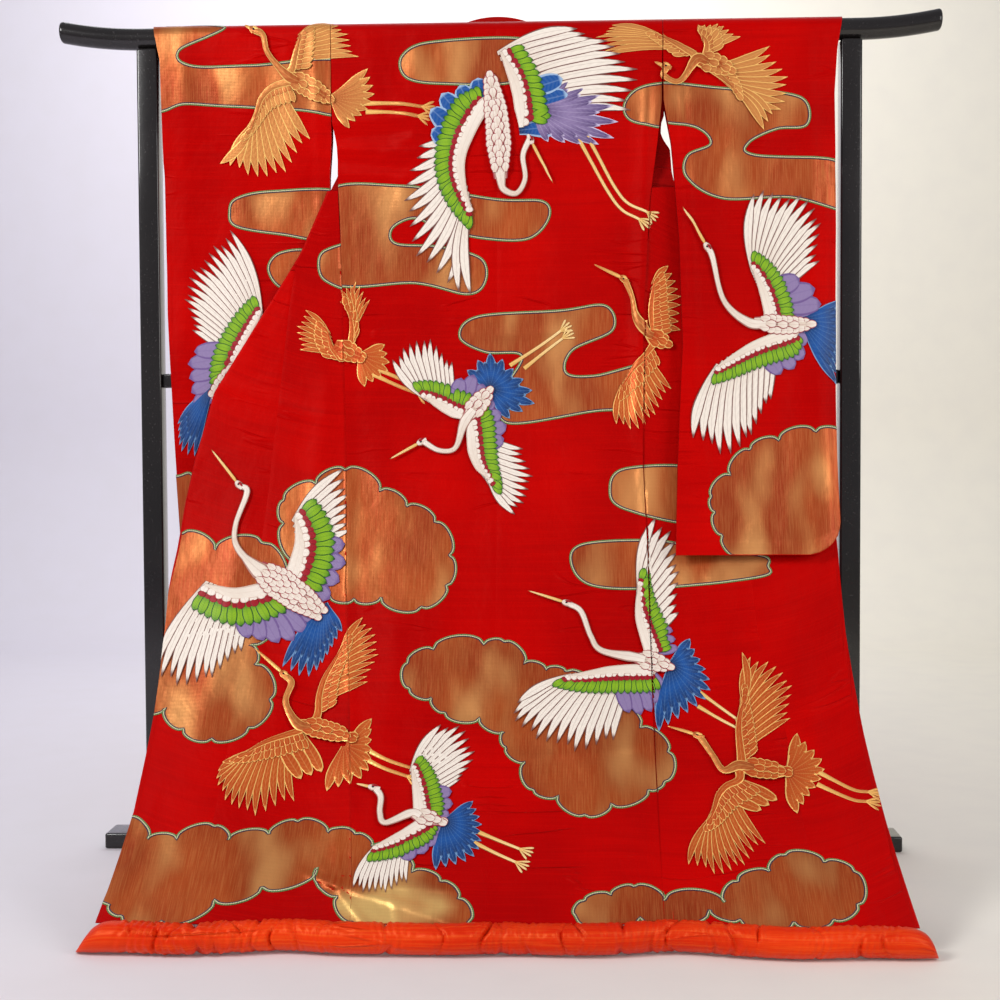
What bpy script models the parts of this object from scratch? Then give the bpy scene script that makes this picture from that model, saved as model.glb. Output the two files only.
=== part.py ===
# Uchikake wedding kimono hung over the top bar of a lacquered kimono stand, seen from its back.
# Metres, +Z up, +X along the bar, the hem drawn forward to -Y; origin at the floor, under the box's middle.
import bpy
import numpy as np

for ob in list(bpy.context.scene.objects):
    bpy.data.objects.remove(ob, do_unlink=True)

# ---- driving sizes ----
STAND_Y = 0.3210          # stand's own plane, behind the box's middle
BAR_HALF = 0.840          # half length of the top bar
BAR_R = 0.0205            # bar radius
BAR_Z = 1.5640            # bar axis height
TIP_RISE = 0.016          # the tips turn up by this over their last TIP_RUN
TIP_RUN = 0.160
POST_X = 0.6700           # post centres
POST_HALF = 0.0200
RAIL_Z = 0.9075           # middle rail, tall and thin
RAIL_HALF_Z = 0.0135
RAIL_HALF_Y = 0.0100
FOOT_HALF_X = 0.0980
FOOT_HALF_Y = 0.0375
FOOT_H = 0.0300

CLOTH = 0.0020            # one wall: outer satin, wadding and lining together
GAP = 0.0003              # between neighbouring pieces
CLOTH_R = 0.0220          # wall's middle round the bar
REACH = 0.667             # how far the hem is drawn out in front of the bar
BEND = 3.77               # how late the cloth leaves the vertical
HEM_R = 0.0260            # padded hem roll
HEM_Z = HEM_R + 0.0003
SLEEVE_L = 1.035          # shoulder to sleeve bottom
SLEEVE_ROUND = 0.065      # sleeve's outer bottom corner
ARMHOLE = 0.235           # sewn part of the sleeve
WRIST = 0.270             # open part at the sleeve's outer edge
COLLAR_W = 0.070
NECK = 0.090              # half width of the neck opening

# body seams and edges read down the cloth: down from the shoulder, across from the centre seam
SIDE_SEAM = {
    "left": [(0.00, 0.3150), (0.20, 0.3140), (0.25, 0.3045), (0.325, 0.3030), (0.42, 0.2985), (0.72, 0.2890),
             (1.10, 0.2740), (1.50, 0.2360), (1.71, 0.2130), (1.90, 0.2060)],
    "right": [(0.00, 0.3150), (0.17, 0.3130), (0.25, 0.3040), (0.354, 0.2900), (0.588, 0.2760), (0.86, 0.2730),
              (1.03, 0.2780), (1.40, 0.2780), (1.90, 0.2770)]}
# down, whole row (front and overlap), open part of the row, front alone
ROW = {
    "left": [(0.00, 0.225, 0.000, 0.2250), (0.15, 0.222, 0.000, 0.2220), (0.30, 0.214, 0.000, 0.1700),
             (0.45, 0.262, 0.074, 0.0840), (0.573, 0.280, 0.155, 0.1060), (0.717, 0.290, 0.247, 0.1250),
             (0.85, 0.302, 0.285, 0.1420), (0.93, 0.309, 0.301, 0.1500), (1.03, 0.319, 0.314, 0.1620),
             (1.11, 0.329, 0.329, 0.1720), (1.35, 0.345, 0.345, 0.2030), (1.55, 0.364, 0.364, 0.2270), (1.72, 0.393, 0.393, 0.2470),
             (1.90, 0.412, 0.412, 0.2500)],
    "right": [(0.00, 0.225, 0.000, 0.2250), (0.15, 0.222, 0.000, 0.2220), (0.30, 0.214, 0.000, 0.1700),
              (0.45, 0.270, 0.085, 0.0950), (0.573, 0.290, 0.175, 0.1200), (0.717, 0.315, 0.265, 0.1450),
              (0.85, 0.335, 0.320, 0.1650), (0.98, 0.347, 0.347, 0.1820), (1.19, 0.348, 0.348, 0.1920),
              (1.39, 0.357, 0.357, 0.2250), (1.57, 0.370, 0.370, 0.2350), (1.77, 0.388, 0.388, 0.2480),
              (1.90, 0.402, 0.402, 0.2500)]}
# valleys where the spread hem lies further back: across, how far, half width
VALLEYS = [(-0.310, 0.014, 0.060), (0.292, 0.022, 0.080), (0.055, 0.006, 0.080), (-0.480, -0.006, 0.060),
           (0.470, -0.006, 0.070)]
# sleeve edges: down, outer edge, inner edge
SLEEVE_EDGE = {
    "left": [(0.00, 0.6600, 0.3156), (0.08, 0.6440, 0.3156), (0.235, 0.6420, 0.3160), (0.30, 0.6410, 0.3200),
             (0.60, 0.6360, 0.3240), (0.85, 0.6240, 0.3300), (1.10, 0.6100, 0.3300)],
    "right": [(0.00, 0.6550, 0.3156), (0.08, 0.6420, 0.3156), (0.17, 0.6360, 0.3160), (0.25, 0.6365, 0.3300),
              (0.44, 0.6370, 0.3440), (0.63, 0.6340, 0.3490), (0.86, 0.6300, 0.3360), (1.10, 0.6290, 0.3250)]}
# height, front wall's and rear wall's distance in front of the bar's plane (left) or of the body (right)
SLEEVE_LEFT_Y = [(0.50, 0.0290, 0.0215), (0.95, 0.0255, 0.0170), (1.10, 0.0150, 0.0080), (1.26, 0.0105, 0.0030),
                 (1.40, 0.0170, -0.0100), (1.53, 0.0218, -0.0218), (1.60, 0.0220, -0.0220)]
SLEEVE_RIGHT_Y = [(0.50, 0.0310, 0.0200), (1.00, 0.0260, 0.0150), (1.26, 0.0190, 0.0090), (1.40, 0.0090, -0.0160),
                  (1.53, 0.0000, -0.0435), (1.60, 0.0000, -0.0440)]


def at(table, d, col=1):
    """Value of a table's column at d, straight between its rows."""
    rows = np.array(table)
    return np.interp(d, rows[:, 0], rows[:, col])


def ease(t):
    """0 to 1 with level ends: 3t^2 - 2t^3."""
    t = np.clip(t, 0.0, 1.0)
    return t * t * (3.0 - 2.0 * t)


def ahead(z):
    """How far the body cloth stands in front of the bar's plane: 0.022 + REACH (1 - z/1.585)^BEND."""
    return 0.022 + REACH * np.clip(1.0 - z / 1.585, 0.0, 1.0) ** BEND


# one long table of the hanging line: quarter turn round the bar, then the drape down to the floor
TURN = np.linspace(0.0, np.pi / 2, 13)
FALL = np.linspace(BAR_Z, 0.0, 400)[1:]
LINE_Y = np.concatenate([CLOTH_R * np.sin(TURN), ahead(FALL)])
LINE_Z = np.concatenate([BAR_Z + CLOTH_R * np.cos(TURN), FALL])
LINE_D = np.concatenate([[0.0], np.cumsum(np.hypot(np.diff(LINE_Y), np.diff(LINE_Z)))])
# the walls stop where they meet the padded roll
ROLL_Y = float(ahead(HEM_Z))
TRY = np.linspace(1.60, float(LINE_D[-1]), 9001)
TRY_Y, TRY_Z = np.interp(TRY, LINE_D, LINE_Y), np.interp(TRY, LINE_D, LINE_Z)
HEM_D = float(TRY[(np.hypot(TRY_Y - ROLL_Y, TRY_Z - HEM_Z) > HEM_R + 0.0016) & (TRY_Z > HEM_Z)][-1])


def valley(x, z):
    """Rearward shift of the spread cloth: bells across, fading in below 0.9 m."""
    shift = sum(depth * np.exp(-((x - c) / wide) ** 2) for c, depth, wide in VALLEYS)
    return shift * ease((0.90 - z) / 0.80)


def body_point(x, d, behind):
    """Point of the body at x across and d down, `behind` metres to the rear of its outer face."""
    y = -np.interp(d, LINE_D, LINE_Y)
    z = np.interp(d, LINE_D, LINE_Z)
    return np.stack([x, y + valley(x, z) + behind, z + 0 * x], -1)


def rear_line(d):
    """Rear cloth of the fronts: (y, z) round the bar's back, then leaning forward in front of the rail."""
    z = np.interp(d, LINE_D, LINE_Z)
    y_bar = np.interp(d, LINE_D, LINE_Y)
    lean = 0.022 - 0.043 * ease((BAR_Z - 0.02 - z) / 0.52)
    low = ease((1.02 - z) / 0.15)
    return np.where(z > BAR_Z, y_bar, lean * (1 - low) + (0.010 - ahead(z)) * low), z


def wall(name, grid, colour, keep=None):
    """Closed solid, CLOTH thick, on a grid of points rows x columns; keep says which cells are cloth."""
    n, m, _ = grid.shape
    keep = np.ones((n - 1, m - 1), bool) if keep is None else keep
    du = np.gradient(grid, axis=0)
    dv = np.gradient(grid, axis=1)
    nrm = np.cross(du, dv)
    nrm /= np.linalg.norm(nrm, axis=-1, keepdims=True)
    points = np.concatenate([(grid + nrm * CLOTH / 2).reshape(-1, 3), (grid - nrm * CLOTH / 2).reshape(-1, 3)])
    k = n * m
    upper = [(i * m + j, (i + 1) * m + j, (i + 1) * m + j + 1, i * m + j + 1)
             for i in range(n - 1) for j in range(m - 1) if keep[i, j]]
    edges = {(f[q], f[(q + 1) % 4]) for f in upper for q in range(4)}
    faces = upper + [tuple(v + k for v in reversed(f)) for f in upper]
    faces += [(b, a, a + k, b + k) for a, b in sorted(edges) if (b, a) not in edges]
    used = sorted({v for f in faces for v in f})
    new = {v: q for q, v in enumerate(used)}
    return solid(name, points[used], [tuple(new[v] for v in f) for f in faces], colour)


def solid(name, points, faces, colour):
    """Mesh object from points and faces, turned so that its volume is positive."""
    points = np.array(points, float)
    vol = 0.0
    for f in faces:
        for i in range(1, len(f) - 1):
            vol += np.dot(points[f[0]], np.cross(points[f[i]], points[f[i + 1]]))
    if vol < 0:
        faces = [tuple(reversed(f)) for f in faces]
    mesh = bpy.data.meshes.new(name)
    moved = points + np.array([0.0, STAND_Y, 0.0])
    mesh.from_pydata([tuple(p) for p in moved], [], faces)
    mesh.update()
    ob = bpy.data.objects.new(name, mesh)
    bpy.context.scene.collection.objects.link(ob)
    mat = bpy.data.materials.new(name + "_look")
    mat.use_nodes = True
    shader = mat.node_tree.nodes["Principled BSDF"]
    shader.inputs["Base Color"].default_value = (*colour, 1.0)
    shader.inputs["Roughness"].default_value = 0.35
    mesh.materials.append(mat)
    return ob


def loft(name, rings, colour):
    """Closed solid through rings of equally many points, with flat ends."""
    n, m = len(rings), len(rings[0])
    points = np.concatenate([np.array(r, float) for r in rings])
    faces = [tuple(range(m - 1, -1, -1)), tuple((n - 1) * m + j for j in range(m))]
    for i in range(n - 1):
        for j in range(m):
            k = (j + 1) % m
            faces.append((i * m + j, i * m + k, (i + 1) * m + k, (i + 1) * m + j))
    return solid(name, points, faces, colour)


BLACK = (0.012, 0.010, 0.010)
RED = (0.500, 0.012, 0.012)
LINING = (0.620, 0.030, 0.015)
ORANGE = (0.750, 0.060, 0.020)

# Stand: round top bar with upturned tips, two posts with a hollow for the bar, one middle rail, two flat feet.
rings = []
for x in np.concatenate([np.linspace(-BAR_HALF, -0.68, 7), np.linspace(0.68, BAR_HALF, 7)]):
    lift = TIP_RISE * (np.clip(abs(x) - (BAR_HALF - TIP_RUN), 0, 1) / TIP_RUN) ** 2
    turn = np.arange(20) * 2 * np.pi / 20
    rings.append(np.stack([0 * turn + x, BAR_R * np.cos(turn), BAR_Z + lift + BAR_R * np.sin(turn)], 1))
loft("top_bar", rings, BLACK)

for side, sign in (("left", -1), ("right", 1)):
    rings = []
    for y, half in ((-0.0200, 0.0150), (-0.0185, 0.0185), (-0.0150, 0.0200), (-0.0100, 0.0200), (-0.0050, 0.0200),
                    (0.0, 0.0200), (0.0050, 0.0200), (0.0100, 0.0200), (0.0150, 0.0200), (0.0185, 0.0185),
                    (0.0200, 0.0150)):
        top = BAR_Z - np.sqrt((BAR_R + 0.0006) ** 2 - y * y)
        x0, x1 = sign * POST_X - half, sign * POST_X + half
        rings.append([(x0, y, FOOT_H + GAP), (x1, y, FOOT_H + GAP), (x1, y, top), (x0, y, top)])
    loft("post_" + side, rings, BLACK)
    x0, x1 = sign * POST_X - FOOT_HALF_X, sign * POST_X + FOOT_HALF_X
    e = 0.004
    rings = []
    for z, cut in ((0.0, 0.0), (FOOT_H - e, 0.0), (FOOT_H, e)):
        rings.append([(x0 + cut, -FOOT_HALF_Y + cut, z), (x1 - cut, -FOOT_HALF_Y + cut, z),
                      (x1 - cut, FOOT_HALF_Y - cut, z), (x0 + cut, FOOT_HALF_Y - cut, z)])
    loft("foot_" + side, rings, BLACK)

rings = []
for x in (-POST_X + POST_HALF + GAP, POST_X - POST_HALF - GAP):
    rings.append([(x, -RAIL_HALF_Y, RAIL_Z - RAIL_HALF_Z), (x, RAIL_HALF_Y, RAIL_Z - RAIL_HALF_Z),
                  (x, RAIL_HALF_Y, RAIL_Z + RAIL_HALF_Z), (x, -RAIL_HALF_Y, RAIL_Z + RAIL_HALF_Z)])
loft("middle_rail", rings, BLACK)

# Two back panels, from the top of the bar down to the roll, butted at the centre back seam.
DOWN = np.concatenate([[0.0003, 0.003, 0.009, 0.015, 0.021, 0.028, 0.0346, 0.09, 0.15, 0.20, 0.25, 0.29, 0.31, 0.35], np.linspace(0.38, 0.93, 11),
                       np.linspace(1.03, HEM_D, 11)])
for side, sign in (("left", -1), ("right", 1)):
    grid = []
    for d in DOWN:
        edge = at(SIDE_SEAM[side], d)
        across = GAP / 2 + (edge - GAP / 2) * np.array([0, 0.18, 0.36, 0.54, 0.72, 0.88, 0.96, 1.0])
        lip = 0.0035 * np.exp(-((across - edge) / 0.012) ** 2) * ease((d - 0.33) / 0.15) * ease((HEM_D - d) / 0.2)
        grid.append(body_point(sign * across, np.full(len(across), d), -lip))
    wall("back_" + side, np.array(grid), RED)


FOLD = 0.0072            # depth between the two layers at an opened front's fold
OPENING = 0.33           # end of the opening under the arm: below it the front is folded open


def fold_sizes(side, d):
    """Depth of the rear cloth, depth at the fold, length round the fold, start of the row along its path.
    Above OPENING the row starts behind the back panel; below it, out in front at the side seam."""
    out = at(ROW[side], d, 2)
    y_rear, z = rear_line(d)
    deep = max(float(y_rear + ahead(z)), 0.0060)
    near = deep + (FOLD - deep) * ease((d - 0.24) / 0.12)
    bend = np.pi * near / 2
    return deep, near, bend, (out + bend) if d < OPENING else 0.0


def row_points(side, sign, d, w):
    """Points of one row of a front at w from the side seam: out to the fold, round it and back behind."""
    seam = at(SIDE_SEAM[side], d)
    total, out = at(ROW[side], d, 1), at(ROW[side], d, 2)
    y_rear, z = rear_line(d)
    if z >= BAR_Z:
        return np.stack([sign * (seam - w), np.full(len(w), float(y_rear)), np.full(len(w), float(z))], -1)
    if total - out < 1e-6:
        return body_point(sign * (seam + GAP + w), np.full(len(w), d), 0.0 * w)
    deep, near, bend, start = fold_sizes(side, d)
    p = w + start
    turn = np.clip((p - out) / bend, 0, 1) * np.pi
    back = np.maximum(p - out - bend, 0.0)
    edge = seam + GAP + 0.0012 * ease((d - 0.20) / 0.08) * ease((0.50 - d) / 0.08)
    x = edge + np.minimum(p, out) + near / 2 * np.sin(turn) - back
    behind = near / 2 * (1 - np.cos(turn)) + (deep - near) * ease((seam - x) / 0.07) * (back > 0)
    return body_point(sign * x, np.full(len(w), d), behind)


def spaced(side, d, w0, w1, first, last):
    """Places between w0 and w1: `first` steps before the fold, four round it and `last` behind it."""
    if d < OPENING:
        return np.concatenate([np.full(first + 4, w0), np.linspace(w0, w1, last + 1)])
    out = at(ROW[side], d, 2)
    deep, near, bend, start = fold_sizes(side, d)
    least = 0.0012
    c = min(max(out, w0 + first * least), w1 - (4 + last) * least)
    e = min(max(out + bend, c + 4 * least), w1 - last * least)
    return np.concatenate([np.linspace(w0, c, first + 1), np.linspace(c, e, 5)[1:], np.linspace(e, w1, last + 1)[1:]])


# Two fronts and two overlap panels: folded behind at the shoulder, opened out flat at the hem.
# The overlap starts at SPLIT; above it the front has the whole row.
SPLIT = 0.49
FLAT, BEHIND = 6, 6
for side, sign in (("left", -1), ("right", 1)):
    grid, keep = [], []
    for d in DOWN:
        seam, total = at(ROW[side], d, 3), at(ROW[side], d, 1)
        if d < SPLIT - 0.01:
            w = spaced(side, d, 0.0, total, FLAT + 2, BEHIND)
        else:
            w = np.concatenate([np.linspace(0.0, seam, FLAT + 1), spaced(side, d, seam, total, 2, BEHIND)[1:]])
        grid.append(row_points(side, sign, d, w))
        keep.append([(d > OPENING and j < FLAT) or (j >= FLAT + 6 or d > OPENING) and d < SPLIT - 0.01
                     for j in range(FLAT + 6 + BEHIND)])
    wall("front_" + side, np.array(grid), RED, np.array(keep[:-1]))
    grid = []
    for d in [DOWN[DOWN > SPLIT - 0.01][0] + 0.0010] + list(DOWN[DOWN > SPLIT + 0.01]):
        seam, total = at(ROW[side], d, 3), at(ROW[side], d, 1)
        grid.append(row_points(side, sign, d, spaced(side, d, seam + GAP, total, 3, BEHIND)))
    wall("overlap_" + side, np.array(grid), RED)

# Collar: one long band, up one front edge, across the back of the neck above the bar, down the other.
legs = {}
for side, sign in (("left", -1), ("right", 1)):
    rows = []
    for d in np.concatenate([[0.10, 0.16, 0.22, 0.28], np.linspace(0.34, 0.86, 12)]):
        total = at(ROW[side], d, 1)
        edge = row_points(side, sign, d, np.array([total - 0.004, total]))[-1]
        y_rear, z = rear_line(d)
        width = COLLAR_W * (1.0 - 0.55 * ease((d - 0.5) / 0.36))
        xs = abs(edge[0]) + 0.004 - width * np.linspace(0, 1, 4)
        seam = at(SIDE_SEAM[side], d)
        deep = float(y_rear + ahead(z))
        near = min(deep, deep + (FOLD - deep) * ease((d - 0.24) / 0.12))
        behind = near + (deep - near) * ease((seam - xs) / 0.07) + 0.0036
        rows.append(body_point(sign * xs, np.full(4, d), behind))
    legs[side] = rows
neck = []
for k in np.linspace(0, np.pi, 9):
    out_r, in_r = np.array([NECK + 0.004, 0.052]), np.array([NECK - 0.062, 0.006])
    ring = [out_r + (in_r - out_r) * t for t in np.linspace(0, 1, 4)]
    lift = 0.0
    neck.append([(-np.cos(k) * rx, 0.0264 + lift, 1.5420 + np.sin(k) * rz) for rx, rz in ring])
grid = list(reversed(legs["left"])) + [np.array(r) for r in neck] + legs["right"]
wall("collar", np.array(grid), LINING)

# Sleeves: a front and a rear wall each, met along the shoulder, the bottom and the outer edge below the wrist.
for side, sign in (("left", -1), ("right", 1)):
    for part_name, col, shift in (("front", 1, -1), ("rear", 2, 1)):
        grid = []
        share = np.array([0, 0.08, 0.28, 0.50, 0.72, 0.86, 0.95, 1.0])
        for v in np.concatenate([[0.0003, 0.003, 0.009, 0.015, 0.021, 0.028, 0.0346], np.linspace(0.08, 1.0, 13)]):
            row = []
            for u in share:
                x_in, x_out = at(SLEEVE_EDGE[side], v * SLEEVE_L, 2), at(SLEEVE_EDGE[side], v * SLEEVE_L, 1)
                x = x_in + (x_out - x_in) * u
                past = np.clip((x - (0.629 - SLEEVE_ROUND)) / SLEEVE_ROUND, 0, 1)
                length = SLEEVE_L - SLEEVE_ROUND * (1 - np.sqrt(1 - 0.999 * past ** 2))
                d = v if v < 0.04 else v * (length - 0.0 * v)
                z = float(np.interp(d, LINE_D, LINE_Z))
                if z > BAR_Z:
                    y = -np.interp(d, LINE_D, LINE_Y) * (1 if col == 1 else -1)
                elif side == "left":
                    y = -at(SLEEVE_LEFT_Y, z, col)
                else:
                    y = -ahead(z) - at(SLEEVE_RIGHT_Y, z, col)
                other = 3 - col
                if z < BAR_Z:
                    y2 = -at(SLEEVE_LEFT_Y, z, other) if side == "left" else -ahead(z) - at(SLEEVE_RIGHT_Y, z, other)
                    near_end = ease(1 - (SLEEVE_L * (1 - v)) / 0.03)
                    near_out = ease(1 - (x_out - x) / 0.02) * ease((d - WRIST) / 0.03)
                    pinch = max(near_end, near_out)
                    y += ((y + y2) / 2 + shift * (CLOTH + GAP) / 2 - y) * pinch
                row.append((sign * x, float(y), z))
            grid.append(row)
        wall("sleeve_%s_%s" % (side, part_name), np.array(grid), RED)

# Padded hem roll: rings in planes across, thinning to a corner at each end.
END_L, END_R = 0.618, 0.680
rings = []
for x in np.concatenate([[-END_L, -END_L + 0.008, -END_L + 0.022], np.linspace(-END_L + 0.045, END_R - 0.045, 64),
                         [END_R - 0.022, END_R - 0.008, END_R]]):
    near = min(x + END_L, END_R - x)
    r = HEM_R * (0.42 + 0.58 * np.sqrt(1 - (1 - np.clip(near / 0.045, 0, 1)) ** 2))
    turn = (np.arange(14) + 0.5) * 2 * np.pi / 14
    y = -ROLL_Y + valley(x, HEM_Z)
    rings.append(np.stack([0 * turn + x, y + r * np.cos(turn), HEM_Z + (r - HEM_R) + r * np.sin(turn)], 1))
loft("hem_roll", rings, ORANGE)
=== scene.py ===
# Looks of a bridal over-kimono (uchikake) hung open over the bar of a black lacquered stand, its back
# shown. Red satin with woven gold clouds and embroidered cranes, and a padded orange roll along the hem.
import math
import bpy
import numpy as np
from mathutils import Matrix


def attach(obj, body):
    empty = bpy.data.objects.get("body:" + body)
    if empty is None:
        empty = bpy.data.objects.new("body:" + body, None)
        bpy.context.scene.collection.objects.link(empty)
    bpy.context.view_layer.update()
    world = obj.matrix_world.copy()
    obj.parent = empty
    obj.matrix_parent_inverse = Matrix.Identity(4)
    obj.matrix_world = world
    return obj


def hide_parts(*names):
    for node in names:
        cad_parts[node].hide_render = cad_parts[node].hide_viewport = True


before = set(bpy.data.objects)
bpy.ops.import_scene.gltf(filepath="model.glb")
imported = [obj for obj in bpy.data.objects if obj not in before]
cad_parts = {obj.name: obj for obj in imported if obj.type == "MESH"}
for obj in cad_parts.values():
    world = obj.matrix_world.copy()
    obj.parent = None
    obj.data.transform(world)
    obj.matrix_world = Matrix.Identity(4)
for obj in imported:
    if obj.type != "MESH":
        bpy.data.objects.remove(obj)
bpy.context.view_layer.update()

# Hanging line of the cloth, metres: a quarter turn round the bar, then a drape that leaves the vertical late
# and runs out in front to the hem. `down` is the way along it from the shoulder, `across` is from the seam.
STAND_Y = 0.3210
BAR_Z, BAR_R, BAR_HALF = 1.5640, 0.0205, 0.840
CLOTH, GAP, CLOTH_R = 0.0020, 0.00005, 0.0220
REACH, BEND, LINE_TOP = 0.667, 3.77, 1.585
HEM_R = 0.0260
HEM_Z = HEM_R + 0.0003
# down, side seam's distance from the centre seam
SIDE_SEAM = {
    "left": [(0.00, 0.3150), (0.20, 0.3140), (0.25, 0.3045), (0.325, 0.3030), (0.42, 0.2985), (0.72, 0.2890),
             (1.10, 0.2740), (1.50, 0.2360), (1.71, 0.2130), (1.90, 0.2060)],
    "right": [(0.00, 0.3150), (0.17, 0.3130), (0.25, 0.3040), (0.354, 0.2900), (0.588, 0.2760),
              (0.86, 0.2730), (1.03, 0.2780), (1.40, 0.2780), (1.90, 0.2770)]}
# down, whole row of front and overlap, its open part, front alone
ROW = {
    "left": [(0.00, 0.225, 0.000, 0.2250), (0.15, 0.222, 0.000, 0.2220), (0.30, 0.214, 0.000, 0.1700),
             (0.45, 0.262, 0.074, 0.0840), (0.573, 0.280, 0.155, 0.1060), (0.717, 0.290, 0.247, 0.1250),
             (0.85, 0.302, 0.285, 0.1420), (0.93, 0.309, 0.301, 0.1500), (1.03, 0.319, 0.314, 0.1620),
             (1.11, 0.329, 0.329, 0.1720), (1.35, 0.345, 0.345, 0.2030), (1.55, 0.364, 0.364, 0.2270),
             (1.72, 0.393, 0.393, 0.2470), (1.90, 0.412, 0.412, 0.2500)],
    "right": [(0.00, 0.225, 0.000, 0.2250), (0.09, 0.224, 0.000, 0.2240), (0.13, 0.222, 0.004, 0.2220),
              (0.19, 0.221, 0.0085, 0.2100), (0.205, 0.2205, 0.005, 0.2050), (0.225, 0.2195, 0.006, 0.2000),
              (0.24, 0.2185, 0.014, 0.1950), (0.255, 0.2175, 0.026, 0.1900), (0.30, 0.214, 0.034, 0.1700),
              (0.45, 0.270, 0.085, 0.0950), (0.573, 0.290, 0.175, 0.1200), (0.717, 0.315, 0.265, 0.1450),
              (0.85, 0.335, 0.320, 0.1650), (0.98, 0.347, 0.347, 0.1820), (1.19, 0.348, 0.348, 0.1920),
              (1.39, 0.357, 0.357, 0.2250), (1.57, 0.370, 0.370, 0.2350), (1.77, 0.388, 0.388, 0.2480),
              (1.90, 0.402, 0.402, 0.2500)]}
# valleys of the spread hem: across, how far back, half width
VALLEYS = [(-0.310, 0.014, 0.060), (0.292, 0.022, 0.080), (0.055, 0.006, 0.080), (-0.480, -0.006, 0.060),
           (0.470, -0.006, 0.070)]
# soft folds laid into the outer face, mm: across and down of one end, of the other, half width, height
FOLDS = [(-150, 60, -175, 330, 22, 2.0), (-110, 190, -190, 250, 9, 1.6), (-90, 225, -180, 290, 9, -1.4),
         (-205, 120, -150, 240, 12, 1.5), (285, 180, 262, 760, 11, 3.0), (250, 160, 235, 620, 16, -1.6),
         (120, 430, 170, 1000, 40, 1.6), (-40, 900, -60, 1500, 45, -1.6), (150, 1100, 190, 1700, 30, 1.8),
         (-180, 1200, -200, 1720, 22, 2.2), (-150, 1420, -90, 1440, 10, 1.3), (-270, 560, -210, 900, 26, 1.8),
         (-330, 760, -360, 1300, 22, 2.2), (-470, 930, -520, 1500, 24, 2.0), (-400, 520, -330, 700, 20, 1.5),
         (400, 1080, 430, 1700, 26, 2.4), (330, 1150, 350, 1600, 18, -1.6), (540, 1250, 580, 1700, 18, 1.8),
         (-560, 1500, -590, 1730, 10, 1.8), (20, 610, 190, 600, 8, 0.8), (-180, 955, 60, 950, 9, 0.8),
         (-520, 700, -300, 780, 12, 1.0), (-520, 1180, -310, 1190, 9, 0.8), (60, 1440, 250, 1420, 10, 0.8),
         (-300, 205, -196, 196, 7, 2.2), (-304, 232, -168, 222, 7, -2.0), (-302, 252, -150, 262, 7, 2.2),
         (-300, 276, -190, 288, 7, -1.8), (-298, 300, -200, 306, 7, 1.8), (-250, 30, -235, 110, 14, 1.4),
         (-240, 1690, -110, 1732, 6, 2.2), (-240, 1694, -60, 1760, 6, 2.0), (-236, 1700, -180, 1775, 6, 2.4),
         (-236, 1686, -80, 1700, 6, 1.6), (-242, 1690, -330, 1716, 6, 1.8), (-240, 1680, -250, 1600, 8, 2.0),
         (-150, 1716, -130, 1775, 6, 1.6), (60, 300, 230, 290, 8, 0.8), (180, 360, 280, 330, 8, 0.9),
         (-20, 470, 200, 455, 9, 0.7)]
# places along the roll where the wadding is drawn in, across, mm
PUCKERS = [-548, -512, -470, -448, -420, -404, -388, -352, -322, -300, -238, -150, -74, 8, 20, 62, 128, 141,
           214, 258, 268, 291, 345, 372, 421, 498, 571, 614]


def at(table, d, col=1):
    """Value of a table's column at d, straight between its rows."""
    rows = np.array(table)
    return np.interp(d, rows[:, 0], rows[:, col])


def ease(t):
    """0 to 1 with level ends: 3t^2 - 2t^3."""
    t = np.clip(t, 0.0, 1.0)
    return t * t * (3.0 - 2.0 * t)


def ahead(z):
    """How far the body cloth stands in front of the bar's plane: CLOTH_R + REACH (1 - z / LINE_TOP)^BEND."""
    return CLOTH_R + REACH * np.clip(1.0 - z / LINE_TOP, 0.0, 1.0) ** BEND


TURN = np.linspace(0.0, np.pi / 2, 13)
FALL = np.linspace(BAR_Z, 0.0, 400)[1:]
LINE_Y = np.concatenate([CLOTH_R * np.sin(TURN), ahead(FALL)])
LINE_Z = np.concatenate([BAR_Z + CLOTH_R * np.cos(TURN), FALL])
LINE_D = np.concatenate([[0.0], np.cumsum(np.hypot(np.diff(LINE_Y), np.diff(LINE_Z)))])
ROLL_Y = float(ahead(HEM_Z))
TRY = np.linspace(1.60, float(LINE_D[-1]), 9001)
TRY_Y, TRY_Z = np.interp(TRY, LINE_D, LINE_Y), np.interp(TRY, LINE_D, LINE_Z)
HEM_D = float(TRY[(np.hypot(TRY_Y - ROLL_Y, TRY_Z - HEM_Z) > HEM_R + 0.0002) & (TRY_Z > HEM_Z)][-1])


def valley(x, z):
    """Rearward shift of the spread cloth: bells across, fading in below 0.9 m."""
    shift = sum(depth * np.exp(-((x - c) / wide) ** 2) for c, depth, wide in VALLEYS)
    return shift * ease((0.90 - z) / 0.80)


def ridges(table, x, d, fade, gain):
    """Height of a table's soft folds: each a bell across its line, level along it, fading past its ends."""
    high = 0.0
    for x0, d0, x1, d1, wide, rise in table:
        long = math.hypot(x1 - x0, d1 - d0)
        ux, ud = (x1 - x0) / long, (d1 - d0) / long
        along = (x - x0 / 1000) * ux + (d - d0 / 1000) * ud
        off = (x - x0 / 1000) * ud - (d - d0 / 1000) * ux
        past = np.maximum(np.maximum(-along, along - long / 1000), 0.0) / fade
        high = high + gain * rise / 1000 * np.exp(-(off / (wide / 1000)) ** 2 - past ** 2)
    return high


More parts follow.
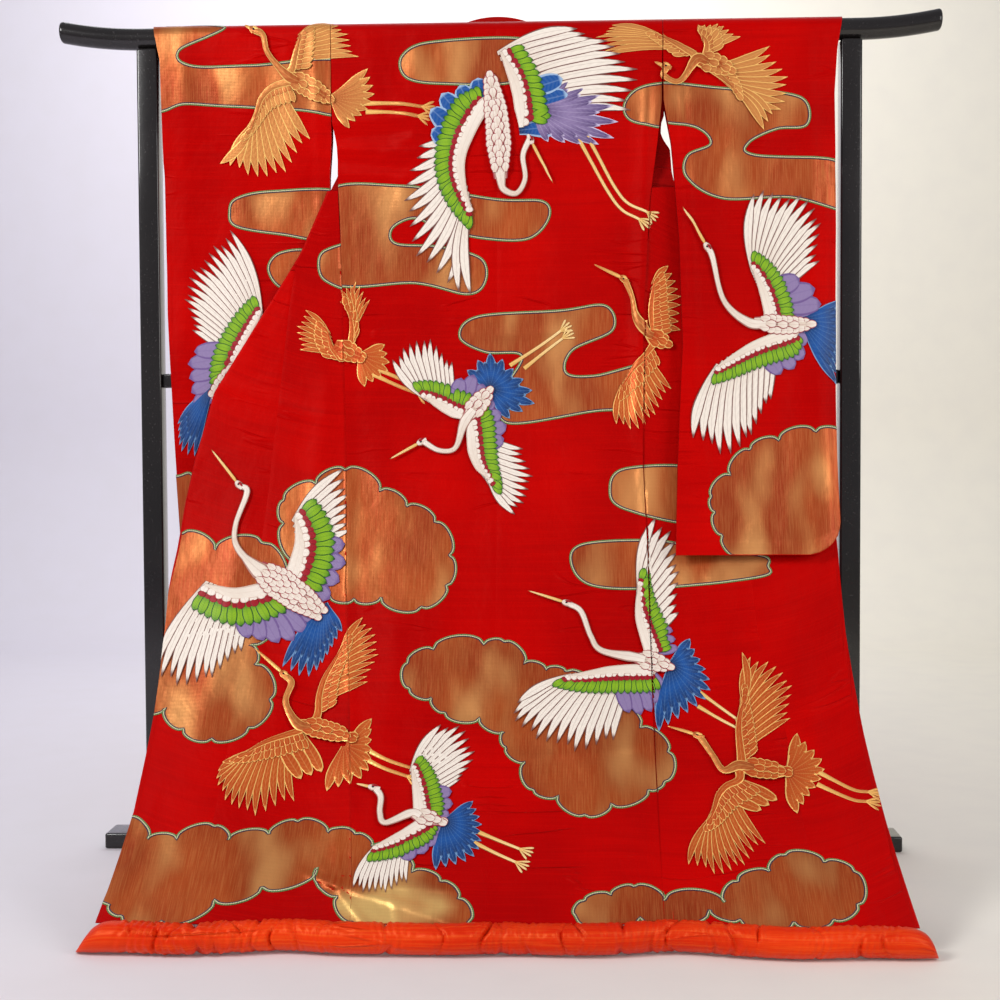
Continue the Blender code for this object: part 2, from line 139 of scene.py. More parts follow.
def folds(x, d):
    """Height of the body's soft folds, less the fine gathers that run up from the roll's puckers over 60 to
    110 mm."""
    high = 0.0006 * np.sin(x * 31 + d * 3) * np.sin(d * 5.3 + 1.2 * np.sin(x * 9))
    high = high + ridges(FOLDS, x, d, 0.05, 1.5)
    for k, c in enumerate(PUCKERS):
        reach = 0.060 + 0.050 * ((k * 7) % 5) / 4
        fade = ease(1 - (HEM_D - d) / reach)
        high = high - 0.0016 * np.exp(-((x - c / 1000) / 0.006) ** 2) * fade
    return high * ease(d / 0.06)


def body_point(x, d, behind):
    """Point of the body at x across and d down, `behind` metres to the rear of its outer face."""
    y = -np.interp(d, LINE_D, LINE_Y)
    z = np.interp(d, LINE_D, LINE_Z)
    front = np.clip(1 - np.maximum(behind, 0) / 0.003, 0, 1)
    return np.stack([x, y + valley(x, z) + behind - folds(x, d) * front, z + 0 * x], -1)


LIP, LIP_WIDE = 0.0035, 0.012


def lip(x, d):
    """Forward turn of a back panel's edge over the front it is sewn to: a bell LIP high, LIP_WIDE wide."""
    edge = np.where(x < 0, at(SIDE_SEAM["left"], d), at(SIDE_SEAM["right"], d))
    over = LIP * np.exp(-((np.abs(x) - edge) / LIP_WIDE) ** 2) * (np.abs(x) <= edge + 0.0005)
    return over * ease((d - 0.33) / 0.15) * ease((HEM_D - d) / 0.2)


def rear_line(d):
    """Rear cloth of the fronts: (y, z) round the bar's back, then leaning forward in front of the rail."""
    z = np.interp(d, LINE_D, LINE_Z)
    y_bar = np.interp(d, LINE_D, LINE_Y)
    lean = CLOTH_R - 0.043 * ease((BAR_Z - 0.02 - z) / 0.52)
    low = ease((1.02 - z) / 0.15)
    return np.where(z > BAR_Z, y_bar, lean * (1 - low) + (0.010 - ahead(z)) * low), z


# Shader and mesh helpers, kept short: a value that does sums with other values, a tree with one call for
# every kind of node, and one builder for every mesh.
class Value:
    """A shader socket that adds, subtracts and multiplies through Math nodes."""

    def __init__(self, look, socket):
        self.look, self.socket = look, socket

    def math(self, kind, *others):
        items = {0: self, **{k + 1: o for k, o in enumerate(others)}}
        return self.look.node("ShaderNodeMath", items, operation=kind)

    def __add__(self, o): return self.math("ADD", o)
    def __sub__(self, o): return self.math("SUBTRACT", o)
    def __rsub__(self, o): return self.look.node("ShaderNodeMath", {0: o, 1: self}, operation="SUBTRACT")
    def __mul__(self, o): return self.math("MULTIPLY", o)

    def sin(self): return self.math("SINE")
    def abs(self): return self.math("ABSOLUTE")
    def step(self, low, high):
        """0 below low, 1 above high, smooth between."""
        return self.look.node("ShaderNodeMapRange", {0: self, 1: low, 2: high},
                              interpolation_type="SMOOTHSTEP")


class Look:
    """A material on one Principled shader, and the calls that add nodes to it."""

    def __init__(self, name, **fixed):
        self.mat = bpy.data.materials.new(name)
        self.mat.use_nodes = True
        self.tree = self.mat.node_tree
        self.shader = self.tree.nodes["Principled BSDF"]
        for key, value in fixed.items():
            self.set(key.replace("_", " "), value)

    def node(self, kind, inputs=None, out=0, **settings):
        """Adds a node: its settings first, then the values or links of its sockets."""
        n = self.tree.nodes.new(kind)
        for key, value in settings.items():
            setattr(n, key, value)
        for key, value in (inputs or {}).items():
            self.join(n.inputs[key], value)
        return Value(self, n.outputs[out])

    def join(self, socket, value):
        if isinstance(value, Value):
            self.tree.links.new(value.socket, socket)
        elif isinstance(value, tuple) and len(value) == 3 and socket.type == "RGBA":
            socket.default_value = (*value, 1.0)
        else:
            socket.default_value = value

    def set(self, key, value):
        self.join(self.shader.inputs[key], value)

    def mix(self, factor, a, b):
        return self.node("ShaderNodeMix", {0: factor, 6: a, 7: b}, out=2, data_type="RGBA")

    def noise(self, where, scale, detail=2.0, rough=0.5):
        return self.node("ShaderNodeTexNoise", {"Vector": where, "Scale": scale, "Detail": detail,
                                                "Roughness": rough})

    def place(self, map_name):
        """The UV map's vector and its two values."""
        uv = self.node("ShaderNodeUVMap", uv_map=map_name)
        split = self.node("ShaderNodeSeparateXYZ", {0: uv})
        return uv, split, Value(self, split.socket.node.outputs[1])

    def streaks(self, where, sx, sy, detail=2.0, rough=0.5, sz=1.0):
        """Noise on a place that is first multiplied by (sx, sy, sz)."""
        where = self.node("ShaderNodeVectorMath", {0: where, 1: (sx, sy, sz)}, operation="MULTIPLY")
        return self.noise(where, 1.0, detail, rough)

    def colour(self, layer):
        """Own colour of each point, from the mesh's colour layer of that name."""
        return self.node("ShaderNodeAttribute", attribute_name=layer)

    def spot(self):
        """Place on the object, metres."""
        return self.node("ShaderNodeTexCoord", out=3)

    def bump(self, height, distance, strength=1.0, under=None):
        items = {"Height": height, "Distance": distance, "Strength": strength}
        if under is not None:
            items["Normal"] = under
        return self.node("ShaderNodeBump", items)


def srgb(r, g, b):
    """Screen colour 0-255 as linear light."""
    parts = (r / 255, g / 255, b / 255)
    return tuple(c / 12.92 if c <= 0.04045 else ((c + 0.055) / 1.055) ** 2.4 for c in parts)


def make(name, points, quads, looks, uv=None, colours=None, face_look=None, sharp=50.0, closed=True):
    """Mesh piece from arrays: points in the stand's plane, quads, one UV pair and colours for each point."""
    points, quads = np.asarray(points, float), np.asarray(quads, int)
    if closed:
        a, b, c, d = (points[quads[:, k]] for k in range(4))
        if (np.einsum("ij,ij->i", a, np.cross(b, c)) + np.einsum("ij,ij->i", a, np.cross(c, d))).sum() < 0:
            quads = quads[:, ::-1]
    mesh = bpy.data.meshes.new(name)
    mesh.from_pydata((points + (0, STAND_Y, 0)).tolist(), [], quads.tolist())
    for look in looks:
        mesh.materials.append(look.mat)
    if face_look is not None:
        mesh.polygons.foreach_set("material_index", np.asarray(face_look, np.int32))
    if uv is not None:
        layer = mesh.uv_layers.new(name="Cloth")
        layer.data.foreach_set("uv", np.asarray(uv, np.float32)[quads.ravel()].ravel())
    for key, value in (colours or {}).items():
        layer = mesh.color_attributes.new(name=key, type="FLOAT_COLOR", domain="POINT")
        layer.data.foreach_set("color", np.asarray(value, np.float32).ravel())
    mesh.shade_smooth()
    mesh.set_sharp_from_angle(angle=math.radians(sharp))
    mesh.update()
    ob = bpy.data.objects.new(name, mesh)
    bpy.context.scene.collection.objects.link(ob)
    return ob


def grid_quads(n, m, close=False):
    """Quads of an n x m grid of points, its columns joined up when close."""
    i, j = np.meshgrid(np.arange(n - 1), np.arange(m if close else m - 1), indexing="ij")
    k = (j + 1) % m
    return np.stack([i * m + j, (i + 1) * m + j, (i + 1) * m + k, i * m + k], -1).reshape(-1, 4)


def cloth(name, grid, looks, keep=None):
    """Closed shell, CLOTH thick, on a grid of mid points. Its UV map runs across and down in metres."""
    n, m, _ = grid.shape
    keep = np.ones((n - 1, m - 1), bool) if keep is None else keep
    nrm = np.cross(np.gradient(grid, axis=0), np.gradient(grid, axis=1))
    nrm /= np.maximum(np.linalg.norm(nrm, axis=-1, keepdims=True), 1e-9)
    k = n * m
    points = np.concatenate([grid + nrm * CLOTH / 2, grid - nrm * CLOTH / 2]).reshape(-1, 3)
    across = np.cumsum(np.linalg.norm(np.diff(grid, axis=1, prepend=grid[:, :1]), axis=-1), 1)
    down = np.cumsum(np.linalg.norm(np.diff(grid, axis=0, prepend=grid[:1]), axis=-1), 0)
    uv = np.tile(np.stack([across + grid[:, :1, 0], down], -1).reshape(-1, 2), (2, 1))
    outer = grid_quads(n, m)[keep.ravel()]
    sides = np.concatenate([outer[:, [q, (q + 1) % 4]] for q in range(4)])
    code = sides[:, 0] * k + sides[:, 1]
    rim = sides[~np.isin(code, sides[:, 1] * k + sides[:, 0])]
    edge = np.stack([rim[:, 1], rim[:, 0], rim[:, 0] + k, rim[:, 1] + k], -1)
    quads = np.concatenate([outer, outer[:, ::-1] + k, edge])
    used, back = np.unique(quads, return_inverse=True)
    quads = back.reshape(quads.shape)
    toward = nrm[n // 2, m // 4, 1] < 0
    face = np.concatenate([np.full(len(outer), 0 if toward else 1), np.full(len(outer), 1 if toward else 0),
                           np.zeros(len(edge), int)])
    return make(name, points[used], quads, looks, uv=uv[used], face_look=face)


# Plain studio: a pale floor that curves up into a pale wall, cooler on the left and warmer on the right,
# lit by a broad soft light from the front left and above, a fill from the right and one on the wall.
backdrop = Look("backdrop_paper", Roughness=0.85)
spot = backdrop.spot()
spot_x = backdrop.node("ShaderNodeSeparateXYZ", {0: spot})
tone = backdrop.mix(spot_x.step(-1.6, 1.6), srgb(216, 212, 222), srgb(234, 229, 216))
grain = backdrop.noise(spot, 9.0, 4.0)
backdrop.set("Base Color", backdrop.mix(grain.step(0.3, 0.8) * 0.12, tone, srgb(205, 200, 200)))
backdrop.set("Normal", backdrop.bump(backdrop.noise(spot, 420.0), 0.0004, 0.3))
FLOOR_HALF, SWEEP_R, WALL_Y, WALL_H = 6.5, 0.9, 4.0, 4.6
quarter = np.linspace(0, math.pi / 2, 16)
curve = [(WALL_Y - SWEEP_R + SWEEP_R * math.sin(t), SWEEP_R - SWEEP_R * math.cos(t)) for t in quarter]
curve = [(-FLOOR_HALF, 0.0)] + curve + [(WALL_Y, WALL_H)]
sweep = np.array([[(x, y - STAND_Y, z) for x in np.linspace(-FLOOR_HALF, FLOOR_HALF, 5)] for y, z in curve])
floor = make("studio_sweep", sweep.reshape(-1, 3), grid_quads(len(curve), 5), [backdrop], closed=False)
for poly in floor.data.polygons:
    if poly.normal.z < 0 or poly.normal.y > 0.1:
        poly.flip()


def soft_light(name, place, target, size, watts, colour):
    """Square area light of `size` metres at place, aimed at target."""
    lamp = bpy.data.lights.new(name, "AREA")
    lamp.shape, lamp.size, lamp.energy, lamp.color = "SQUARE", size, watts, colour
    ob = bpy.data.objects.new(name, lamp)
    bpy.context.scene.collection.objects.link(ob)
    ob.location = place
    aim = np.array(target, float) - np.array(place, float)
    ob.rotation_euler = (math.atan2(math.hypot(aim[0], aim[1]), -aim[2]), 0.0, math.atan2(-aim[0], aim[1]))
    return ob


soft_light("key", (-2.5, -2.1, 2.6), (0.0, 0.1, 0.9), 1.2, 92, (1.0, 0.99, 0.98))
soft_light("fill", (2.6, -2.0, 1.8), (0.1, 0.1, 0.8), 1.6, 45, (1.0, 0.98, 0.95))
front = soft_light("low_front", (0.1, -3.3, 0.9), (0.0, 0.1, 0.6), 1.6, 20, (1.0, 1.0, 1.0))
front.visible_glossy = False
soft_light("wall", (-0.4, 2.1, 3.4), (-0.3, 3.9, 1.2), 2.6, 80, (1.0, 1.0, 1.0))
world = bpy.data.worlds.new("studio_air")
bpy.context.scene.world = world
world.use_nodes = True
world.node_tree.nodes["Background"].inputs[0].default_value = (0.92, 0.93, 1.0, 1.0)
world.node_tree.nodes["Background"].inputs[1].default_value = 0.34
bpy.context.scene.view_settings.view_transform = "Standard"

# Camera at the height of the chest, three metres in front of the stand, turned a little to the left.
yaw, pitch, roll = 0.03775, -0.03886, -0.00507
ahead0 = np.array([-math.sin(yaw), math.cos(yaw), 0.0])
right0 = np.array([math.cos(yaw), math.sin(yaw), 0.0])
forward = ahead0 * math.cos(pitch) + np.array([0, 0, math.sin(pitch)])
up0 = -ahead0 * math.sin(pitch) + np.array([0, 0, math.cos(pitch)])
right = math.cos(roll) * right0 + math.sin(roll) * up0
up = -math.sin(roll) * right0 + math.cos(roll) * up0
camera = bpy.data.objects.new("camera", bpy.data.cameras.new("camera"))
bpy.context.scene.collection.objects.link(camera)
camera.data.lens, camera.data.sensor_width = 55.993, 36.0
eye = (0.11548, -3.0 + STAND_Y, 0.79083)
camera.matrix_world = Matrix([(right[k], up[k], -forward[k], eye[k]) for k in range(3)] + [(0, 0, 0, 1)])
bpy.context.scene.camera = camera


# Stand: black lacquered wood. A round bar with upturned tips rests on the posts' flat tops, a flat rail
# joins the posts behind the cloth, and each post stands on a low foot. Polished, with fine dust and an uneven
# gloss.
POST_X, POST_HALF, FOOT_H = 0.6700, 0.0200, 0.0300
FOOT_HALF_X, FOOT_HALF_Y = 0.0980, 0.0375
RAIL_Z, RAIL_HALF_Z, RAIL_HALF_Y = 0.9075, 0.0135, 0.0100
lacquer = Look("black_lacquer", Coat_Weight=0.55, Coat_Roughness=0.05, Specular_IOR_Level=0.25)
spot = lacquer.spot()
dust = lacquer.noise(spot, 260.0, 3.0).step(0.62, 0.75)
cloud = lacquer.noise(spot, 7.0, 3.0)
black = lacquer.mix(cloud, (0.006, 0.005, 0.005), (0.014, 0.011, 0.011))
lacquer.set("Base Color", lacquer.mix(dust * 0.25, black, (0.10, 0.09, 0.09)))
lacquer.set("Roughness", cloud * 0.12 + 0.14 + dust * 0.2)
lacquer.set("Normal", lacquer.bump(lacquer.noise(spot, 30.0, 2.0), 0.0006, 0.35))


def loft(name, rings, look):
    """Closed piece through rings of equally many points, its ends drawn in to 3% and closed by quads."""
    n, m = len(rings), len(rings[0])
    rings = np.asarray(rings, float)
    first, last = rings[0].mean(0), rings[-1].mean(0)
    points = np.concatenate([np.broadcast_to(first, (1, m, 3)) * 0.97 + rings[:1] * 0.03, rings,
                             np.broadcast_to(last, (1, m, 3)) * 0.97 + rings[-1:] * 0.03]).reshape(-1, 3)
    quads = grid_quads(n + 2, m, close=True)
    caps = []
    for base, flip in ((0, False), ((n + 1) * m, True)):
        for k in range(m // 2 - 1):
            q = [base + k, base + k + 1, base + m - 2 - k, base + m - 1 - k]
            caps.append(q if flip else q[::-1])
    return make(name, points, np.concatenate([quads, np.array(caps)]), [look], sharp=38.0)


def rounded_box(name, low, high, r, look):
    """Box with corners and edges rounded by r: stacked rings along z, each a rounded rectangle."""
    rings = []
    turn = np.linspace(0, np.pi / 2, 6)
    levels = [(low[2] + r * (1 - math.cos(t)), r * (1 - math.sin(t))) for t in turn]
    levels += [(low[2] + (high[2] - low[2]) * q, 0.0) for q in (0.25, 0.5, 0.75)]
    levels += [(high[2] - r * (1 - math.cos(t)), r * (1 - math.sin(t))) for t in turn[::-1]]
    for z, cut in levels:
        x0, x1, y0, y1 = low[0] + cut, high[0] - cut, low[1] + cut, high[1] - cut
        ring = []
        corners = ((x1 - r, y1 - r, 0), (x0 + r, y1 - r, 90), (x0 + r, y0 + r, 180), (x1 - r, y0 + r, 270))
        for cx, cy, start in corners:
            for t in turn:
                a = math.radians(start) + t
                ring.append((cx + r * math.cos(a), cy + r * math.sin(a), z))
        rings.append(ring)
    return loft(name, rings, look)


stations = np.concatenate([-BAR_HALF + 0.006 * (1 - np.cos(TURN)), np.linspace(-BAR_HALF + 0.008, -0.66, 24),
                           np.linspace(-0.6, 0.6, 13), np.linspace(0.66, BAR_HALF - 0.008, 24),
                           BAR_HALF - 0.006 * (1 - np.cos(TURN[::-1]))])
rings = []
for x in stations:
    rise = 0.016 * (np.clip(abs(x) - (BAR_HALF - 0.160), 0, 1) / 0.160) ** 2
    near = min((BAR_HALF - abs(x)) / 0.006, 1.0)
    r = BAR_R - 0.006 * (1 - math.sqrt(max(1 - (1 - near) ** 2, 0.0)))
    turn = np.arange(48) * 2 * np.pi / 48
    rings.append(np.stack([0 * turn + x, r * np.cos(turn), BAR_Z + rise + r * np.sin(turn)], 1))
bar = loft("lacquered_bar", rings, lacquer)
pieces = [(bar, ["top_bar"])]
for side, sign in (("left", -1), ("right", 1)):
    low = (sign * POST_X - POST_HALF, -POST_HALF, FOOT_H + GAP)
    top = BAR_Z - BAR_R - 0.0006
    high = (sign * POST_X + POST_HALF, POST_HALF, top)
    post = rounded_box("lacquered_post_" + side, low, high, 0.0045, lacquer)
    foot = rounded_box("lacquered_foot_" + side, (sign * POST_X - FOOT_HALF_X, -FOOT_HALF_Y, 0.0),
                       (sign * POST_X + FOOT_HALF_X, FOOT_HALF_Y, FOOT_H), 0.004, lacquer)
    pieces += [(post, ["post_" + side]), (foot, ["foot_" + side])]
side_x = POST_X - POST_HALF - GAP
rail = rounded_box("lacquered_rail", (-side_x, -RAIL_HALF_Y, RAIL_Z - RAIL_HALF_Z),
                   (side_x, RAIL_HALF_Y, RAIL_Z + RAIL_HALF_Z), 0.003, lacquer)
pieces.append((rail, ["middle_rail"]))
for piece, nodes in pieces:
    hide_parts(*nodes)
    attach(piece, "root")


# Red satin of the robe: a smooth silk with a fine slanting weave, faint streaks across the cloth that also
# carry a painted sheen in a brighter red, soft handling creases, a few sharper fold lines and broad patches
# of slightly deeper and brighter red.
def satin(name, base, deep, bright, rough, gloss=(1.0, 0.10, 0.07, 1.0), level=0.22):
    """Satin of three reds mixed by noise on the cloth, the bright one a painted sheen laid along the streaks;
    gloss tints its highlights, level weakens them.
    """
    look = Look(name, Specular_IOR_Level=level, Specular_Tint=gloss, Anisotropic=0.3)
    uv, across, down = look.place("Cloth")
    broad = look.noise(uv, 3.2, 3.0)
    streak = look.streaks(uv, 7.0, 300.0, 3.0, 0.6)
    slub = look.streaks(uv, 3.0, 60.0, 3.0)
    tone = look.mix(broad.step(0.30, 0.72), deep, base)
    # painted sheen: a fifth of the bright red is mixed in along the streaks
    tone = look.mix(streak.step(0.42, 0.70) * 0.20, tone, bright)
    look.set("Base Color", look.mix(slub.step(0.50, 0.75) * 0.45, tone, deep))
    look.set("Roughness", streak * 0.10 + broad * 0.12 + rough)
    twill = ((across * 5200.0) + (down * 2600.0)).sin()
    crease = look.streaks(uv, 18.0, 11.0, 3.0, 0.55)
    fine = look.streaks(uv, 90.0, 60.0, 2.0, 0.5)
    line = 1.0 - (look.streaks(uv, 2.6, 15.0, 2.0, 0.45) - 0.5).abs().step(0.0, 0.022)
    line = line * look.noise(uv, 5.0, 1.0).step(0.50, 0.64)
    under = look.bump(line, 0.0024, 0.75, look.bump(crease, 0.0052, 0.60))
    under = look.bump(fine, 0.0007, 0.30, under)
    look.set("Normal", look.bump(twill * 0.5 + streak, 0.00014, 0.55, under))
    return look


# base, deep and bright reds of each satin; the bright one is painted sheen
red = satin("red_satin", srgb(184, 1, 1), srgb(156, 0, 2), srgb(206, 8, 3), 0.32)
lining = satin("lining_silk", srgb(170, 10, 10), srgb(142, 5, 8), srgb(192, 22, 12), 0.36)


def steps(low, high, size):
    """Even places from low to high, about size apart."""
    return np.linspace(low, high, max(int(round((high - low) / size)), 2) + 1)


# Rows down the cloth: close together round the bar, then every 7 mm to the roll.
DOWN = np.concatenate([np.linspace(0.0003, 0.0346, 9), steps(0.040, HEM_D, 0.0068)])

# Two back panels of satin, each 0.315 wide and 1.80 long, sewn together down the centre. The seam shows as
# a shallow dent, and each outer edge turns forward over the front it is sewn to.
robe = []
for side, sign in (("left", -1), ("right", 1)):
    share = np.arange(42) / 41
    edge = at(SIDE_SEAM[side], DOWN)[:, None]
    across = GAP / 2 + (edge - GAP / 2) * share[None, :]
    d = np.broadcast_to(DOWN[:, None], across.shape)
    dent = 0.0009 * np.exp(-(across / 0.0025) ** 2)
    face = body_point(sign * across, d, dent - lip(sign * across, d))
    panel = cloth("back_panel_" + side, face, [red, lining])
    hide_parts("back_" + side)
    robe.append(panel)

# depth of the fronts' side fold, and how far down the armhole ends and the overlap's seam starts
FOLD, OPENING, SPLIT = 0.0072, 0.33, 0.49


def fold_sizes(side, d):
    """Depth of the rear cloth, depth at the fold, length round the fold, start of the row along its path."""
    out = at(ROW[side], d, 2)
    y_rear, z = rear_line(d)
    deep = max(float(y_rear + ahead(z)), 0.0060)
    near = deep + (FOLD - deep) * ease((d - 0.24) / 0.12)
    bend = np.pi * near / 2
    return deep, near, bend, (out + bend) if d < OPENING else 0.0


def row_points(side, sign, d, w):
    """Points of one row of a front at w from the side seam: out to the fold, round it and back behind."""
    seam = at(SIDE_SEAM[side], d)
    total, out = at(ROW[side], d, 1), at(ROW[side], d, 2)
    y_rear, z = rear_line(d)
    if z >= BAR_Z:
        return np.stack([sign * (seam - w), np.full(len(w), float(y_rear)), np.full(len(w), float(z))], -1)
    okumi = 0.0007 * np.exp(-((w - at(ROW[side], d, 3)) / 0.0022) ** 2) * (d > SPLIT)
    if total - out < 1e-6:
        return body_point(sign * (seam + GAP + w), np.full(len(w), d), okumi)
    deep, near, bend, start = fold_sizes(side, d)
    p = w + start
    turn = np.clip((p - out) / bend, 0, 1) * np.pi
    back = np.maximum(p - out - bend, 0.0)
    edge = seam + GAP + 0.0012 * ease((d - 0.20) / 0.08) * ease((0.50 - d) / 0.08)
    x = edge + np.minimum(p, out) + near / 2 * np.sin(turn) - back
    behind = near / 2 * (1 - np.cos(turn)) + (deep - near) * ease((seam - x) / 0.07) * (back > 0)
    return body_point(sign * x, np.full(len(w), d), behind + okumi * (p < out))


def spaced(side, d, w0, w1, first, bent, last):
    """Places between w0 and w1: `first` steps before the fold, `bent` round it and `last` behind it."""
    if d < OPENING:
        return np.concatenate([np.full(first + bent, w0), np.linspace(w0, w1, last + 1)])
    out = at(ROW[side], d, 2)
    bend = fold_sizes(side, d)[2]
    least = 0.0004
    c = min(max(out, w0 + first * least), w1 - (bent + last) * least)
    e = min(max(out + bend, c + bent * least), w1 - last * least)
    return np.concatenate([np.linspace(w0, c, first + 1), np.linspace(c, e, bent + 1)[1:],
                           np.linspace(e, w1, last + 1)[1:]])


# Two fronts and two overlap panels: one length with the backs over the shoulder, folded behind at the
# top, opened out flat towards the hem, and tucked TUCK under the back's edge. What shows beside the back
# starts at OPENING, below the armhole; above it there is only the rear wall. The overlap starts at SPLIT.
TUCK = 0.006
FLAT, FIRST, BENT, BEHIND = 30, 14, 8, 20
for side, sign in (("left", -1), ("right", 1)):
    rows, keep = [], []
    for d in DOWN:
        seam, total = at(ROW[side], d, 3), at(ROW[side], d, 1)
        tuck = TUCK * ease((d - 0.42) / 0.06)
        if d < SPLIT - 0.01:
            w = spaced(side, d, -tuck, total, FLAT + FIRST, BENT, BEHIND)
        else:
            w = np.concatenate([np.linspace(-tuck, seam, FLAT + 1),
                                spaced(side, d, seam, total, FIRST, BENT, BEHIND)[1:]])
        rows.append(row_points(side, sign, d, w))
        low_down, above = d > OPENING, d < SPLIT - 0.01
        keep.append([(low_down and j < FLAT) or (j >= FLAT + FIRST + BENT or low_down) and above
                     for j in range(FLAT + FIRST + BENT + BEHIND)])
    panel = cloth("front_panel_" + side, np.array(rows), [red, lining], np.array(keep[:-1]))
    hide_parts("front_" + side)
    robe.append(panel)
    rows = []
    for d in [DOWN[DOWN > SPLIT - 0.01][0] + 0.0010] + list(DOWN[DOWN > SPLIT + 0.01]):
        seam, total = at(ROW[side], d, 3), at(ROW[side], d, 1)
        rows.append(row_points(side, sign, d, spaced(side, d, seam + GAP, total, FIRST + 4, BENT, BEHIND)))
    panel = cloth("overlap_panel_" + side, np.array(rows), [red, lining])
    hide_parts("overlap_" + side)
    robe.append(panel)

# Collar: one long band of lining silk, up one front edge, across the back of the neck and down the other.
COLLAR_W, NECK, NECK_Y, NECK_Z = 0.070, 0.090, 0.0264, 1.5420
legs = {}
for side, sign in (("left", -1), ("right", 1)):
    rows = []
    for d in np.concatenate([np.linspace(0.10, 0.28, 10), np.linspace(0.30, 0.86, 50)]):
        total = at(ROW[side], d, 1)
        edge = row_points(side, sign, d, np.array([total - 0.004, total]))[-1]
        y_rear, z = rear_line(d)
        width = COLLAR_W * (1.0 - 0.55 * ease((d - 0.5) / 0.36))
        xs = abs(edge[0]) + 0.004 - width * np.linspace(0, 1, 12)
        deep = float(y_rear + ahead(z))
        near = min(deep, deep + (FOLD - deep) * ease((d - 0.24) / 0.12))
        behind = near + (deep - near) * ease((at(SIDE_SEAM[side], d) - xs) / 0.07) + 0.0036
        rows.append(body_point(sign * xs, np.full(12, d), behind))
    legs[side] = rows
neck = []
for k in np.linspace(0, np.pi, 33):
    ring = np.linspace((NECK + 0.016, 0.0620), (NECK - 0.062, 0.010), 12)
    neck.append([(-np.cos(k) * rx, NECK_Y, NECK_Z + np.sin(k) * rz) for rx, rz in ring])
collar = cloth("collar_band", np.array(legs["left"][::-1] + neck + legs["right"]), [lining, lining])
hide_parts("collar")

# Sleeves: each one length of satin folded over the shoulder, about 0.32 wide and 1.04 long, with a round
# outer corner and an open wrist. The left hangs behind the robe's front and the right hangs before it.
SLEEVE_L, SLEEVE_ROUND, WRIST = 1.035, 0.065, 0.270
# down, outer edge, inner edge
SLEEVE_EDGE = {
    "left": [(0.00, 0.6600, 0.3156), (0.08, 0.6440, 0.3156), (0.235, 0.6420, 0.3160), (0.30, 0.6410, 0.3200),
             (0.60, 0.6360, 0.3240), (0.85, 0.6240, 0.3300), (1.10, 0.6100, 0.3300)],
    "right": [(0.00, 0.6550, 0.3156), (0.08, 0.6420, 0.3156), (0.17, 0.6360, 0.3160), (0.25, 0.6365, 0.3300),
              (0.44, 0.6370, 0.3440), (0.63, 0.6340, 0.3490), (0.86, 0.6300, 0.3360), (1.10, 0.6290, 0.3250)]}
# height, front wall's and rear wall's distance in front of the bar's plane (left) or of the body (right)
SLEEVE_Y = {
    "left": [(0.50, 0.0290, 0.0215), (0.95, 0.0255, 0.0170), (1.10, 0.0150, 0.0080), (1.26, 0.0105, 0.0030),
             (1.40, 0.0170, -0.0100), (1.53, 0.0218, -0.0218), (1.60, 0.0220, -0.0220)],
    "right": [(0.50, 0.0310, 0.0200), (1.00, 0.0260, 0.0150), (1.26, 0.0190, 0.0090), (1.40, 0.0090, -0.0160),
              (1.53, 0.0000, -0.0435), (1.60, 0.0000, -0.0440)]}
# soft folds of the sleeves' front faces, mm: across and down of one end, of the other, half width, height
SLEEVE_FOLDS = {
    "left": [(-600, 120, -600, 560, 16, 2.0), (-560, 60, -545, 420, 20, -1.2),
             (-480, 130, -500, 520, 26, 1.8), (-400, 60, -380, 300, 18, 1.6), (-345, 60, -340, 330, 9, 2.0),
             (-600, 640, -560, 1000, 16, 1.6)],
    "right": [(352, 180, 372, 620, 9, 2.2), (430, 60, 410, 420, 20, 1.6), (500, 240, 520, 760, 30, 1.8),
              (590, 100, 600, 900, 14, 2.0), (450, 620, 430, 980, 24, 1.6),
              (560, 700, 540, 1000, 20, -1.2), (360, 640, 400, 1010, 12, 1.6)]}


def sleeve_end(x):
    """Length down to the sleeve's bottom edge at x across: a quarter round at the outer corner."""
    past = np.clip((np.abs(x) - (0.629 - SLEEVE_ROUND)) / SLEEVE_ROUND, 0, 1)
    return SLEEVE_L - SLEEVE_ROUND * (1 - np.sqrt(1 - 0.999 * past ** 2))


def sleeve_point(side, col, x, d, v=None):
    """Point of a sleeve's front (col 1) or rear (col 2) wall; the walls meet along bottom and outer edge."""
    v = d / sleeve_end(x) if v is None else v
    z = np.interp(d, LINE_D, LINE_Z)
    turn = -np.interp(d, LINE_D, LINE_Y) * (1 if col == 1 else -1)
    base = 0.0 if side == "left" else ahead(z)
    y, y2 = -base - at(SLEEVE_Y[side], z, col), -base - at(SLEEVE_Y[side], z, 3 - col)
    x_out = at(SLEEVE_EDGE[side], v * SLEEVE_L, 1)
    pinch = np.maximum(ease(1 - (SLEEVE_L * (1 - v)) / 0.03),
                       ease(1 - (x_out - np.abs(x)) / 0.02) * ease((d - WRIST) / 0.03))
    shift = -1 if col == 1 else 1
    y = y + ((y + y2) / 2 + shift * (CLOTH + GAP) / 2 - y) * pinch
    if col == 1:
        rise = ridges(SLEEVE_FOLDS[side], x, d, 0.06, 1.0)
        y = y - (rise + 0.0008) * (1 - pinch) * ease(d / 0.08)
    return np.stack([x + 0 * d, np.where(z > BAR_Z, turn, y), z + 0 * x], -1)


